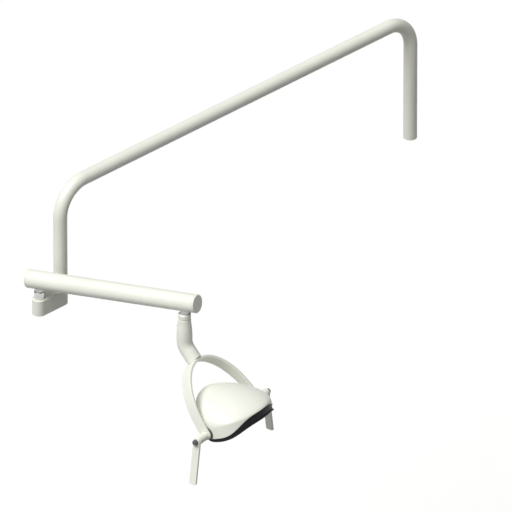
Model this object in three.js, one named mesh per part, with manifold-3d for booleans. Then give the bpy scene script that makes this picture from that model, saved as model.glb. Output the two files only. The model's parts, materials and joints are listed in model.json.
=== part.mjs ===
// A dental operatory light: a bent post, a knuckle block, a spring-balanced arm, a swivelling
// stem with a yoke, and a reflector head that tilts in the yoke between two handles.
// Millimetres, +Z up. The origin is the centre of the post's lower end, where it is held.
// The post's beam runs along -X. Each moving assembly is a nested group at its own pivot.
import * as THREE from "three";
import { mergeVertices } from "three/addons/utils/BufferGeometryUtils.js";
import Module from "manifold-3d";

const wasm = await Module();
wasm.setup();

// ---------- driving dimensions ----------

const GAP = 0.3; // between pieces that touch
const WALL = 2.5; // of the post and of the arm tube

const POST_RADIUS = 19.05;
const POST_SPAN = 1334; // between the post's two legs
const BEAM_HEIGHT = 377; // centre line of the beam above the post's lower end
const BEND_RADIUS = 88;
const PLUG_FLANGE = 3;

const BLOCK_RADIUS = 19.5;
const BLOCK_BOTTOM = 27;
const BLOCK_TOP = 74;
const PIVOT_OFFSET = 80; // from the post's left leg to the arm's swivel axis
const COVER_THICKNESS = 3;

const ARM_YAW = -74.5; // degrees about +Z, at rest
const ARM_LIFT = 7.6; // degrees above level, at rest
const ARM_RADIUS = 25.4;
const ARM_AXIS_HEIGHT = 130; // of the lift pivot
const ARM_PIVOTS = 452; // between the lift pivot and the front pivot
const REAR_OVERHANG = 34;
const FRONT_OVERHANG = 41;
const CAP_FLANGE = 4.7;
const HUB_RADIUS = 15;
const HUB_HALF_WIDTH = 16;
const NECK_RADIUS = 12;
const NECK_DEPTH = 34; // from a hub's pin down to the end of its neck
const SHAFT_RADIUS = 7;
const LINK_OFFSET = 10.5; // from a hub's pin up to its link pin
const PIN_RADIUS = 3.2;
const LINK_PIN_RADIUS = 2.3;

const YOKE_YAW = 9.5; // degrees about +Z of the tilt axis, at rest
const YOKE_LEAN = 42; // degrees that the yoke's plane leans from upright
const YOKE_HEIGHT = 179; // tilt axis to the top of the arch
const YOKE_HALF_SPAN = 117;
const YOKE_THICKNESS = 8;
const YOKE_TOP_WIDTH = 35;
const YOKE_TIP_WIDTH = 28;
const YOKE_TAPER_HEIGHT = 116; // the strap narrows from here down to its tips
const FRICTION_SEAT = 2.4; // room for the friction washer inside each tip
const TILT_REACH = -154.4; // tilt axis from the front swivel axis, along the yoke group's Y
const TILT_HEIGHT = -113.6; // above the origin
const STEM_TOP = 139.5;
const STEM_TOP_RADIUS = 17.4;
const STEM_RADIUS = 21.5;
const STEM_BEND_RADIUS = 45;

const HEAD_LEAN = 21; // degrees that the beam of light leans from straight down, at rest
const HEAD_FORWARD = 24; // from the tilt axis to the middle of the dish
const HEAD_HALF_LENGTH = 109;
const HEAD_HALF_WIDTH = 86;
const DOME_FOOT = 16; // above the tilt axis, where the upright skirt turns into the dome
const DOME_HEIGHT = 93; // above the tilt axis
const DOME_SHIFT = 70; // of the crown, back from the middle of the dish
const DOME_EASE = 0.15; // share of the rise over which the upright skirt begins to lean back
const DOME_POWER = 1.15; // 1 would be half an ellipsoid
const SHELL_WALL = 2.6;
const RIM_MEAN = 0.4; // the shell's lower edge is a saddle around this depth
const RIM_WAVE = 16.3;
const BEZEL_DEPTH = 17.3; // the front edge is a flatter saddle around this depth
const BEZEL_WAVE = 9.2;
const BEZEL_HEIGHT = 3.7;
const SHIELD_SHEET = 2.4;
const HANDLE_LENGTH = 123;
const HANDLE_THICKNESS = 7;
const HANDLE_WIDTH = 22;
const HANDLE_SPLAY = 18; // of the grip's lower end, outwards
const HANDLE_HUB_RADIUS = 12;

// ---------- materials ----------

const finish = (color, roughness, metalness) => ({ color, roughness, metalness });
const IVORY = finish(0xecebe0, 0.42, 0);
const MOULDING = finish(0xeeece2, 0.34, 0);
const STEEL = finish(0xa9aaa8, 0.32, 1);
const ZINC = finish(0x8d9092, 0.45, 1);
const BLACK = finish(0x17181c, 0.5, 0);
const GREY = finish(0x4a4c4e, 0.55, 0);
const NYLON = finish(0xdad7c8, 0.6, 0);
const MIRROR = finish(0xe8ecee, 0.08, 1);
const CLEAR = finish(0xf2f6f7, 0.05, 0);
const CERAMIC = finish(0xe6e1d4, 0.7, 0);

// ---------- helpers ----------

const deg = THREE.MathUtils.degToRad;
const IDENTITY = new THREE.Matrix4();

/** A closed geometry as a manifold solid, with its shared vertices merged. */
function toSolid(geometry) {
  const bare = geometry.clone();
  bare.deleteAttribute("normal");
  bare.deleteAttribute("uv");
  const merged = mergeVertices(bare, 1e-4);
  const kept = [];
  const index = merged.index.array;
  for (let i = 0; i < index.length; i += 3) {
    const [a, b, c] = [index[i], index[i + 1], index[i + 2]];
    if (a !== b && b !== c && c !== a) kept.push(a, b, c);
  }
  const vertProperties = merged.attributes.position.array;
  const triVerts = new Uint32Array(kept);
  return new wasm.Manifold(new wasm.Mesh({ numProp: 3, vertProperties, triVerts }));
}

function toGeometry(solid) {
  const { vertProperties, triVerts } = solid.getMesh();
  const geometry = new THREE.BufferGeometry();
  geometry.setAttribute("position", new THREE.BufferAttribute(vertProperties, 3));
  geometry.setIndex(new THREE.BufferAttribute(triVerts, 1));
  return geometry;
}

const join = (...parts) => toGeometry(parts.map(toSolid).reduce((a, b) => a.add(b)));
const cut = (base, ...tools) =>
  toGeometry(tools.map(toSolid).reduce((a, b) => a.subtract(b), toSolid(base)));
const overlapOf = (a, b) => toGeometry(toSolid(a).intersect(toSolid(b)));

/** A round bar along Z from low to high. */
function bar(radius, low, high, sides = 20) {
  return new THREE.CylinderGeometry(radius, radius, high - low, sides)
    .rotateX(Math.PI / 2)
    .translate(0, 0, (low + high) / 2);
}

const barX = (radius, low, high, sides) => bar(radius, low, high, sides).rotateY(Math.PI / 2);
const barY = (radius, low, high, sides) => bar(radius, low, high, sides).rotateX(-Math.PI / 2);

/** A box between two corners. */
function block([x0, y0, z0], [x1, y1, z1]) {
  return new THREE.BoxGeometry(x1 - x0, y1 - y0, z1 - z0)
    .translate((x0 + x1) / 2, (y0 + y1) / 2, (z0 + z1) / 2);
}

/** A profile of [radius, z] points, closed or ending on the axis, turned about Z. */
function turned(profile, sides = 24) {
  const area = profile.reduce((sum, [r, z], i) => {
    const [r2, z2] = profile[(i + 1) % profile.length];
    return sum + r * z2 - r2 * z;
  }, 0);
  const ordered = area < 0 ? [...profile].reverse() : [...profile];
  const closed = ordered[0][0] > 0 || ordered.at(-1)[0] > 0;
  if (closed) ordered.push(ordered[0]);
  const points = ordered.map(([r, z]) => new THREE.Vector2(r, z));
  return new THREE.LatheGeometry(points, sides).rotateX(Math.PI / 2);
}

/** A ring along Z with a bore. */
const ring = (outer, bore, low, high, sides = 20) =>
  turned([[bore, low], [outer, low], [outer, high], [bore, high]], sides);

/** A hexagonal nut along Z with a round bore. */
const hexNut = (radius, bore, low, high) =>
  cut(bar(radius, low, high, 6), bar(bore, low - 1, high + 1, 20));

/** Two round ends joined by straight sides, along X from x0 to x1. */
function obround(x0, x1, radius, arcSegments = 12) {
  const shape = new THREE.Shape();
  shape.absarc(x1, 0, radius, -Math.PI / 2, Math.PI / 2);
  shape.absarc(x0, 0, radius, Math.PI / 2, (3 * Math.PI) / 2);
  return new THREE.Shape(shape.getPoints(arcSegments));
}

/** A flat shape stood on z = low and raised to z = high. */
function raised(shape, low, high, curveSegments = 24) {
  const options = { depth: high - low, bevelEnabled: false, curveSegments };
  return new THREE.ExtrudeGeometry(shape, options).translate(0, 0, low);
}

function ellipseShape(rx, ry, hole) {
  const shape = new THREE.Shape();
  shape.absellipse(0, 0, rx, ry, 0, 2 * Math.PI);
  if (hole) shape.holes.push(ellipseShape(...hole));
  return shape;
}

/** A path given by its stations, so that bends get more steps than straight runs. */
class StationPath extends THREE.Curve {
  constructor(stations) {
    super();
    this.stations = stations;
  }
  at(u) {
    return this.stations[Math.round(u * (this.stations.length - 1))];
  }
  getPointAt(u, target = new THREE.Vector3()) {
    return target.copy(this.at(u).point);
  }
  getTangentAt(u, target = new THREE.Vector3()) {
    return target.copy(this.at(u).tangent);
  }
  getSpacedPoints() {
    return this.stations.map((s) => s.point.clone());
  }
}

/** Stations along straight runs in the XZ plane with an arc of the bend radius at each corner. */
function bentStations(corners, bend, arcSteps) {
  const point = ([x, z]) => new THREE.Vector3(x, 0, z);
  const heading = corners.slice(1).map((c, i) => point(c).sub(point(corners[i])).normalize());
  const stations = [{ point: point(corners[0]), tangent: heading[0] }];
  for (let i = 1; i < corners.length - 1; i++) {
    const [before, after] = [heading[i - 1], heading[i]];
    const turn = before.angleTo(after);
    const setback = bend * Math.tan(turn / 2);
    const start = point(corners[i]).addScaledVector(before, -setback);
    const centre = start.clone().addScaledVector(inward(before, after), bend);
    for (let k = 0; k <= arcSteps; k++) {
      const a = (turn * k) / arcSteps;
      const side = inward(before, after);
      const tangent = before.clone().multiplyScalar(Math.cos(a)).addScaledVector(side, Math.sin(a));
      const out = before.clone().multiplyScalar(Math.sin(a)).addScaledVector(side, -Math.cos(a));
      stations.push({ point: centre.clone().addScaledVector(out, bend), tangent });
    }
  }
  stations.push({ point: point(corners.at(-1)), tangent: heading.at(-1) });
  return stations;
}

/** The unit vector square to one heading, on the side that the next one turns to. */
function inward(before, after) {
  return after.clone().addScaledVector(before, -after.dot(before)).normalize();
}

function swept(shape, path, steps) {
  return new THREE.ExtrudeGeometry(shape, { extrudePath: path, steps, curveSegments: 10 });
}

function circleShape(radius, holeRadius) {
  return ellipseShape(radius, radius, holeRadius && [holeRadius, holeRadius]);
}

/** A button-head screw along -Z: its head stands on z = 0. */
function screw(shankRadius, length, headRadius, headHeight) {
  const crown = headHeight * 0.55;
  return turned([[0, -length], [shankRadius, -length], [shankRadius, 0], [headRadius, 0],
    [headRadius, crown], [headRadius * 0.7, headHeight], [0, headHeight]], 12);
}

/** A named mesh in a group. */
function add(group, name, geometry, look, matrix = IDENTITY) {
  const mesh = new THREE.Mesh(geometry, new THREE.MeshStandardMaterial(look));
  mesh.name = name;
  mesh.applyMatrix4(matrix);
  group.add(mesh);
}

const moved = (x, y, z) => new THREE.Matrix4().makeTranslation(x, y, z);
const turnedZ = (degrees) => new THREE.Matrix4().makeRotationZ(deg(degrees));
const turnedX = (degrees) => new THREE.Matrix4().makeRotationX(deg(degrees));

// ---------- post and knuckle block ----------

const SPIGOT_TOP = BLOCK_TOP + 36;
const LOCK_SCREW_HEIGHT = BLOCK_TOP + 20;
const BORE = POST_RADIUS - WALL;
const COVER_RECESS = BLOCK_BOTTOM + COVER_THICKNESS + GAP;
const WASHER_TOP = BLOCK_TOP + 2.1 + GAP;
const POCKET_TOP = 44;
const POCKET_RADIUS = 13.5;
const COVER_SCREW_SIDE = 11;
const COVER_HOLE = 2.2;
const COVER_MARGIN = 2.2;
const LOCK_HOLE = 3.3;
const PLUG_DEPTH = 22;

function postTube() {
  const rightLeg = [[0, PLUG_FLANGE + GAP], [0, BEAM_HEIGHT]];
  const leftLeg = [[-POST_SPAN, BEAM_HEIGHT], [-POST_SPAN, BLOCK_TOP + GAP]];
  const stations = bentStations([...rightLeg, ...leftLeg], BEND_RADIUS, 8);
  const tube = swept(circleShape(POST_RADIUS, BORE), new StationPath(stations), stations.length - 1);
  const lockHole = barX(LOCK_HOLE, 0, POST_RADIUS + 5, 12).translate(-POST_SPAN, 0, LOCK_SCREW_HEIGHT);
  return cut(tube, lockHole);
}

function postPlug() {
  const body = [[0, 0], [POST_RADIUS, 0], [POST_RADIUS, PLUG_FLANGE], [BORE - GAP, PLUG_FLANGE],
    [BORE - GAP, PLUG_DEPTH], [0, PLUG_DEPTH]];
  const vent = bar(3.5, -1, PLUG_DEPTH + 1, 16).translate(9, 0, 0);
  return cut(turned(body, 24), vent);
}

function knuckleBlock() {
  const pivotX = -PIVOT_OFFSET;
  const channel = block([pivotX, -5, BLOCK_BOTTOM - 1], [0, 5, POCKET_TOP]);
  const tools = [
    raised(obround(pivotX, 0, BLOCK_RADIUS - COVER_MARGIN), BLOCK_BOTTOM - 1, COVER_RECESS),
    bar(POCKET_RADIUS, BLOCK_BOTTOM - 1, POCKET_TOP).translate(pivotX, 0, 0),
    bar(POCKET_RADIUS, BLOCK_BOTTOM - 1, POCKET_TOP),
    channel,
    bar(SHAFT_RADIUS + GAP, POCKET_TOP - 1, BLOCK_TOP + 1).translate(pivotX, 0, 0),
    bar(6, POCKET_TOP - 1, SPIGOT_TOP + 1, 16),
    barX(LOCK_HOLE, 8, BORE + 1, 12).translate(0, 0, LOCK_SCREW_HEIGHT),
    ...[-1, 1].map((s) => bar(COVER_HOLE, COVER_RECESS - 1, COVER_RECESS + 9, 12)
      .translate(pivotX / 2, s * COVER_SCREW_SIDE, 0)),
  ];
  const body = raised(obround(pivotX, 0, BLOCK_RADIUS), BLOCK_BOTTOM, BLOCK_TOP);
  return cut(join(body, bar(BORE - GAP, BLOCK_TOP - 1, SPIGOT_TOP)), ...tools);
}

function knuckleCover() {
  const outline = obround(-PIVOT_OFFSET, 0, BLOCK_RADIUS - COVER_MARGIN - GAP);
  const plate = raised(outline, BLOCK_BOTTOM, COVER_RECESS - GAP);
  const holes = [-1, 1].map((s) => bar(COVER_HOLE, BLOCK_BOTTOM - 1, COVER_RECESS + 1, 12)
    .translate(-PIVOT_OFFSET / 2, s * COVER_SCREW_SIDE, 0));
  return cut(plate, ...holes);
}

function buildPost(root) {
  add(root, "post_tube", postTube(), IVORY);
  add(root, "post_plug", postPlug(), MOULDING);
  const leg = moved(-POST_SPAN, 0, 0);
  add(root, "knuckle_block", knuckleBlock(), IVORY, leg);
  add(root, "knuckle_cover", knuckleCover(), IVORY, leg);
  [-1, 1].forEach((s, i) => {
    const seat = moved(-POST_SPAN - PIVOT_OFFSET / 2, s * COVER_SCREW_SIDE, BLOCK_BOTTOM - GAP);
    add(root, `cover_screw_${i + 1}`, screw(1.9, 10, 3.6, 2.2), ZINC, seat.multiply(turnedX(180)));
  });
  const lockScrew = screw(2.9, 9, 4.6, 2.2).rotateY(Math.PI / 2);
  const lockSeat = moved(POST_RADIUS + GAP - POST_SPAN, 0, LOCK_SCREW_HEIGHT);
  add(root, "post_lock_screw", lockScrew, ZINC, lockSeat);
  const pivot = moved(-POST_SPAN - PIVOT_OFFSET, 0, 0);
  const thrustWasher = ring(15.5, SHAFT_RADIUS + GAP, BLOCK_TOP + GAP, WASHER_TOP - GAP);
  add(root, "swivel_thrust_washer", thrustWasher, NYLON, pivot);
}

// ---------- arm base: what turns about the knuckle's upright axis ----------

const HUB_BORE_TOP = -11; // from the hub's pin

/** A hub with a cross hole for its pin, a slot and hole for the link, and a neck going down. */
function armHub(linkSide) {
  const barrel = barY(HUB_RADIUS, -HUB_HALF_WIDTH, HUB_HALF_WIDTH, 24);
  const linkRelief = block([5.2, -3.3, -7], [20, 3.3, 20]).rotateZ(linkSide > 0 ? 0 : Math.PI);
  return cut(
    join(barrel, bar(NECK_RADIUS, -NECK_DEPTH, -4, 24)),
    barY(PIN_RADIUS + GAP, -20, 20, 16),
    barY(LINK_PIN_RADIUS + GAP, -20, 20, 12).translate(0, 0, LINK_OFFSET),
    block([-20, -3.3, 4.4], [20, 3.3, 20]),
    linkRelief,
    bar(SHAFT_RADIUS + GAP, -NECK_DEPTH - 1, HUB_BORE_TOP, 20),
  );
}

function buildArmBase(base) {
  const shaftTop = ARM_AXIS_HEIGHT + HUB_BORE_TOP - GAP;
  add(base, "swivel_shaft", bar(SHAFT_RADIUS, 31.5, shaftTop), STEEL);
  const sleeveTop = ARM_AXIS_HEIGHT - NECK_DEPTH - GAP;
  add(base, "swivel_sleeve", ring(14, SHAFT_RADIUS + GAP, WASHER_TOP, sleeveTop), STEEL);
  add(base, "swivel_washer", ring(13, SHAFT_RADIUS + GAP, 42.2, POCKET_TOP - GAP), ZINC);
  add(base, "swivel_nut", hexNut(12.4, SHAFT_RADIUS + GAP, 33.5, 41.9), ZINC);
  add(base, "rear_hub", armHub(1), ZINC, moved(0, 0, ARM_AXIS_HEIGHT));
  const linkPin = barY(LINK_PIN_RADIUS, -12.5, 12.5, 12);
  add(base, "link_pin_rear", linkPin, STEEL, moved(0, 0, ARM_AXIS_HEIGHT + LINK_OFFSET));
}

// ---------- balanced arm ----------

const ARM_START = CAP_FLANGE - REAR_OVERHANG;
const ARM_END = ARM_PIVOTS + FRONT_OVERHANG - CAP_FLANGE;
const ARM_BORE = ARM_RADIUS - WALL;
const SLOT_HALF_LENGTH = 25.2;
const SLOT_HALF_WIDTH = NECK_RADIUS + 0.8;
const SPRING_DROP = 8.5; // of the spring's axis below the arm's
const SPRING_RADIUS = 9.5;
const SPRING_WIRE = 1.5;
const SPRING_START = 150;
const SPRING_LENGTH = 170;
const SPRING_TURNS = 10;

/** The slot in the tube's underside that a hub's neck swings in. */
function neckSlot(x) {
  const half = SLOT_HALF_LENGTH - SLOT_HALF_WIDTH;
  return raised(obround(x - half, x + half, SLOT_HALF_WIDTH), -ARM_RADIUS - 2, -6);
}

function armTube() {
  const tube = ring(ARM_RADIUS, ARM_BORE, ARM_START, ARM_END, 32).rotateY(Math.PI / 2);
  const pinHoles = [0, ARM_PIVOTS].map((x) => barY(PIN_RADIUS + GAP, -30, 30, 16).translate(x, 0, 0));
  return cut(tube, neckSlot(0), neckSlot(ARM_PIVOTS), ...pinHoles);
}

/** An end cap: a rounded flange as wide as the tube, and a short plug inside it, towards +X. */
function armCap() {
  const r = ARM_RADIUS;
  return turned([[0, 0], [r - 2.6, 0], [r - 0.8, 0.8], [r, 2.6], [r, CAP_FLANGE - GAP],
    [ARM_BORE - GAP, CAP_FLANGE - GAP], [ARM_BORE - GAP, CAP_FLANGE + 2.6], [0, CAP_FLANGE + 2.6]], 32)
    .rotateY(Math.PI / 2);
}

class Helix extends THREE.Curve {
  getPoint(u, target = new THREE.Vector3()) {
    const a = 2 * Math.PI * SPRING_TURNS * u;
    return target.set(SPRING_LENGTH * u, SPRING_RADIUS * Math.cos(a), SPRING_RADIUS * Math.sin(a));
  }
}

function balanceSpring() {
  const wire = new THREE.Shape(circleShape(SPRING_WIRE).getPoints(3).slice(0, -1));
  return swept(wire, new Helix(), SPRING_TURNS * 10);
}

/** A bulkhead across the tube, cut away above for the level link, with a hole for the rod. */
function springBulkhead() {
  const disc = barX(ARM_BORE - GAP, 0, 6, 28);
  const linkWindow = block([-1, -5, 3], [7, 5, 30]);
  return cut(disc, linkWindow, barX(3.4, -1, 7, 16).translate(0, 0, -SPRING_DROP));
}

function buildArm(arm) {
  add(arm, "arm_tube", armTube(), IVORY);
  add(arm, "arm_cap_rear", armCap(), IVORY, moved(-REAR_OVERHANG, 0, 0));
  const frontCap = armCap().rotateZ(Math.PI);
  add(arm, "arm_cap_front", frontCap, IVORY, moved(ARM_PIVOTS + FRONT_OVERHANG, 0, 0));
  const pinReach = ARM_RADIUS - 0.4;
  add(arm, "lift_pin", barY(PIN_RADIUS, -pinReach, pinReach, 16), STEEL);
  add(arm, "front_pin", barY(PIN_RADIUS, -pinReach, pinReach, 16), STEEL, moved(ARM_PIVOTS, 0, 0));
  const springX = SPRING_START + SPRING_WIRE;
  add(arm, "balance_spring", balanceSpring(), ZINC, moved(springX, 0, -SPRING_DROP));
  const springEnd = springX + SPRING_LENGTH + SPRING_WIRE + GAP;
  add(arm, "spring_bulkhead", springBulkhead(), ZINC, moved(SPRING_START - 6 - GAP, 0, 0));
  const rod = barX(3.1, 60, springEnd + 22, 12);
  const eye = cut(barY(6, -4, 4, 16).translate(56, 0, 0), barY(2.6, -5, 5, 12).translate(56, 0, 0));
  add(arm, "spring_rod", join(rod, eye), STEEL, moved(0, 0, -SPRING_DROP));
  const seat = ring(12, 3.4, 0, 4).rotateY(Math.PI / 2);
  add(arm, "spring_seat", seat, ZINC, moved(springEnd, 0, -SPRING_DROP));
  const nut = hexNut(6.5, 3.4, 0, 7).rotateY(Math.PI / 2);
  add(arm, "spring_adjusting_nut", nut, ZINC, moved(springEnd + 4 + GAP, 0, -SPRING_DROP));
}

/** The bar beside the spring that keeps the front hub level. */
function levelLink() {
  const ends = [0, ARM_PIVOTS];
  const eyes = ends.map((x) => bar(4.4, -2.6, 2.6, 16).translate(x, 0, 0));
  const strip = block([0, -3, -2.5], [ARM_PIVOTS, 3, 2.5]);
  const holes = ends.map((x) => bar(LINK_PIN_RADIUS + GAP, -5, 5, 12).translate(x, 0, 0));
  return cut(join(strip, ...eyes), ...holes).rotateX(Math.PI / 2);
}

// ---------- front hub: stays level as the arm lifts ----------

const COLLAR_HEIGHT = 13.6;
const SPINDLE_GROOVE = 110; // height of the groove that the stem's lock screw sits in

function buildFrontHub(hub, height) {
  const collarTop = height - NECK_DEPTH - GAP;
  add(hub, "front_hub", armHub(-1), ZINC);
  add(hub, "link_pin_front", barY(LINK_PIN_RADIUS, -12.5, 12.5, 12), STEEL, moved(0, 0, LINK_OFFSET));
  const atFloor = moved(0, 0, -height);
  const top = height + HUB_BORE_TOP - GAP;
  const r = SHAFT_RADIUS;
  const groove = [[r, SPINDLE_GROOVE - 4], [r - 1.5, SPINDLE_GROOVE - 3.4],
    [r - 1.5, SPINDLE_GROOVE + 3.4], [r, SPINDLE_GROOVE + 4]];
  const spindle = turned([[0, 94], [r, 94], ...groove, [r, top], [0, top]], 24);
  add(hub, "front_spindle", spindle, STEEL, atFloor);
  const c = collarTop - COLLAR_HEIGHT;
  const collar = turned([[r + GAP, c], [STEM_TOP_RADIUS, c], [STEM_TOP_RADIUS, collarTop - 2.5],
    [STEM_TOP_RADIUS - 2.5, collarTop], [r + GAP, collarTop]]);
  add(hub, "front_collar", collar, IVORY, atFloor);
  add(hub, "stem_thrust_washer", ring(16.4, r + GAP, STEM_TOP + GAP, c - GAP), NYLON, atFloor);
}

// ---------- stem and yoke: turn about the front upright axis ----------

const BAIL_FRAME = moved(0, TILT_REACH, TILT_HEIGHT).multiply(turnedX(-YOKE_LEAN));
const YOKE_BOLT_SIDE = 11;
const YOKE_BOLT_SEAT = YOKE_HEIGHT - 2;
const TILT_HOLE = 5.4;
const TILT_SHAFT_RADIUS = 5;
const FRICTION_WASHER = 1.7;

/** The yoke's arch outline, grown outwards or inwards, from the tips up. */
function archShape(outer, inner) {
  const half = (grow) =>
    new THREE.EllipseCurve(0, 0, YOKE_HALF_SPAN + grow, YOKE_HEIGHT + grow, 0, Math.PI).getPoints(30);
  return new THREE.Shape([...half(outer), ...(inner === undefined ? [] : half(inner).reverse())]);
}

/** A shape drawn in X and Z, as deep as the width along Y. */
const standing = (shape, width) => raised(shape, -width / 2, width / 2).rotateX(Math.PI / 2);

/** A shape drawn in Y and Z, reaching along X from low to high. */
const seenAlongX = (shape, low, high) =>
  raised(shape, low, high).rotateX(Math.PI / 2).rotateZ(Math.PI / 2);

/** The hole for the tilt shafts, right through. */
const tiltHole = () => barX(TILT_HOLE, -200, 200, 20);

/** The lower end of the stem, from its bend down to the yoke, along the bail frame's Z. */
function stemCentres() {
  const lean = deg(YOKE_LEAN);
  const apexY = TILT_REACH + YOKE_HEIGHT * Math.sin(lean);
  const apexZ = TILT_HEIGHT + YOKE_HEIGHT * Math.cos(lean);
  const straight = (-apexY - STEM_BEND_RADIUS * (1 - Math.cos(lean))) / Math.sin(lean);
  const bendTop = apexZ + STEM_BEND_RADIUS * Math.sin(lean) + straight * Math.cos(lean);
  return { straight, bendTop };
}

function stem() {
  const { straight, bendTop } = stemCentres();
  const bend = STEM_BEND_RADIUS;
  const neck = turned([[0, bendTop - 0.5], [STEM_RADIUS, bendTop - 0.5], [STEM_RADIUS, 92], [20.6, 108],
    [18.4, 126], [STEM_TOP_RADIUS, STEM_TOP - 1.5], [STEM_TOP_RADIUS - 1.5, STEM_TOP], [0, STEM_TOP]], 24);
  const arc = [];
  for (let k = 0; k <= 8; k++) {
    const a = (deg(YOKE_LEAN) * k) / 8;
    const point = new THREE.Vector3(0, -bend * (1 - Math.cos(a)), bendTop - bend * Math.sin(a));
    arc.push({ point, tangent: new THREE.Vector3(0, -Math.sin(a), -Math.cos(a)) });
  }
  const elbow = swept(circleShape(STEM_RADIUS - 0.02), new StationPath(arc), 8);
  const end = bar(STEM_RADIUS, YOKE_HEIGHT - 6, YOKE_HEIGHT + straight + 0.5, 24).applyMatrix4(BAIL_FRAME);
  const archCutter = standing(archShape(YOKE_THICKNESS / 2 + GAP), 80).applyMatrix4(BAIL_FRAME);
  const boltHoles = [-1, 1].map((s) => bar(3.3, YOKE_HEIGHT, YOKE_HEIGHT + 24, 12)
    .translate(s * YOKE_BOLT_SIDE, 0, 0).applyMatrix4(BAIL_FRAME));
  const lockHole = barY(2.8, 0, 30, 12).translate(0, 0, SPINDLE_GROOVE);
  const spindleHole = bar(SHAFT_RADIUS + GAP, 91, STEM_TOP + 1);
  return cut(join(neck, elbow, end), archCutter, spindleHole, lockHole, ...boltHoles);
}

/** The yoke: a strap bent into half an ellipse, wider at the top than at its round tips. */
function yoke() {
  const t = YOKE_THICKNESS / 2;
  const strap = standing(archShape(t, -t), YOKE_TOP_WIDTH);
  const [wide, narrow, high] = [YOKE_TOP_WIDTH / 2, YOKE_TIP_WIDTH / 2, YOKE_TAPER_HEIGHT];
  const side = new THREE.Shape([[-narrow, -1], [narrow, -1], [narrow, 0], [wide, high], [wide, 200],
    [-wide, 200], [-wide, high], [-narrow, 0]].map(([y, z]) => new THREE.Vector2(y, z)));
  const tips = [-1, 1].map((s) => barX(narrow, s * YOKE_HALF_SPAN - t, s * YOKE_HALF_SPAN + t, 28));
  const bolts = [-1, 1].flatMap((s) => [bar(3.3, 150, 200, 12), bar(5.8, 150, YOKE_BOLT_SEAT, 16)]
    .map((hole) => hole.translate(s * YOKE_BOLT_SIDE, 0, 0)));
  return cut(join(overlapOf(strap, seenAlongX(side, -150, 150)), ...tips), tiltHole(), ...bolts);
}

function buildYoke(group) {
  add(group, "stem", stem(), IVORY);
  const lockScrew = screw(2.5, 14.5, 4, 2).rotateX(-Math.PI / 2).translate(0, 21.3, SPINDLE_GROOVE);
  add(group, "stem_lock_screw", lockScrew, ZINC);
  add(group, "yoke", yoke(), IVORY, BAIL_FRAME);
  [-1, 1].forEach((s, i) => {
    const seat = moved(s * YOKE_BOLT_SIDE, 0, YOKE_BOLT_SEAT - GAP).multiply(turnedX(180));
    const bolt = screw(2.9, 20, 5.2, 2.8);
    add(group, `yoke_bolt_${i + 1}`, bolt, ZINC, BAIL_FRAME.clone().multiply(seat));
  });
  const inner = YOKE_HALF_SPAN - YOKE_THICKNESS / 2 - FRICTION_SEAT;
  const outer = YOKE_HALF_SPAN + YOKE_THICKNESS / 2 + GAP;
  for (const [place, x] of [["inner", inner], ["outer", outer]]) {
    for (const [side, low] of [["left", -x - FRICTION_WASHER], ["right", x]]) {
      const washer = ring(11, TILT_HOLE, low, low + FRICTION_WASHER).rotateY(Math.PI / 2);
      add(group, `friction_washer_${place}_${side}`, washer, NYLON, BAIL_FRAME);
    }
  }
}

// ---------- head: tilts in the yoke ----------

const U = HEAD_HALF_LENGTH;
const W = HEAD_HALF_WIDTH;
const DISH = moved(0, -HEAD_FORWARD, 0);
const BOSS_OUTER = YOKE_HALF_SPAN - YOKE_THICKNESS / 2 - FRICTION_SEAT - GAP;
const BOSS_RADIUS = 17;
const HANDLE_INNER = YOKE_HALF_SPAN + YOKE_THICKNESS / 2 + 2 + GAP;
const HANDLE_OUTER = HANDLE_INNER + 39.7;
const KNOB_START = HANDLE_OUTER + GAP;
const KNOB_RADIUS = 7.6;
const KNOB_LENGTH = 9;
const KNOB_BORE_DEPTH = 6;
const HOUSING_WALL = 2.4;
const HOUSING_TOP = 26;
const REFLECTOR_TOP = 35;
const REFLECTOR_HALF_LENGTH = 97;
const REFLECTOR_HALF_WIDTH = 71;
const REFLECTOR_END_DROP = 52; // from its top to the two ends of its edge
const REFLECTOR_SIDE_DROP = 34;
const REFLECTOR_SHEET = 1.8;
const FRAME_EAR = 90;
const FRAME_SHOULDER = 44;
const FRAME_TOP = 57;
const FRAME_SHEET = 2.5;
const FRAME_WIDTH = 44;
const FRAME_SHIFT = -12;

/** The head's outer form, shrunk by the inset: a leaning dome on an upright skirt, flat below. */
function domeSolid(inset, around = 36, rings = 8) {
  const profile = [[0, 1]];
  for (let k = 1; k < rings; k++) {
    const a = (Math.PI / 2) * (k / rings);
    profile.push([Math.sin(a) ** DOME_POWER, Math.cos(a) ** DOME_POWER]);
  }
  profile.push([1, 0], [1, -1], [0, -1]);
  const form = turned(profile, around);
  const at = form.attributes.position;
  for (let i = 0; i < at.count; i++) {
    const up = at.getZ(i);
    const rise = up > 0 ? (DOME_HEIGHT - inset - DOME_FOOT) * up : 60 * up;
    const back = up > 0 ? (DOME_SHIFT * up * up * (1 + DOME_EASE)) / (up + DOME_EASE) : 0;
    at.setXYZ(i, (U - inset) * at.getX(i), (W - inset) * at.getY(i) + back, DOME_FOOT + rise);
  }
  return form;
}

/** Everything above a saddle: low at the head's two ends, high along its two long sides. */
function aboveSaddle(mean, wave) {
  const box = new THREE.BoxGeometry(2.4 * U, 2.8 * W, 200, 18, 18, 1).translate(0, 0, 100);
  const at = box.attributes.position;
  for (let i = 0; i < at.count; i++) {
    if (at.getZ(i) > 1) continue;
    const v = THREE.MathUtils.clamp((at.getX(i) / U) ** 2 - (at.getY(i) / W) ** 2, -1, 1);
    at.setZ(i, -mean - (wave * v * (3 - v * v)) / 2);
  }
  return box;
}

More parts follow.
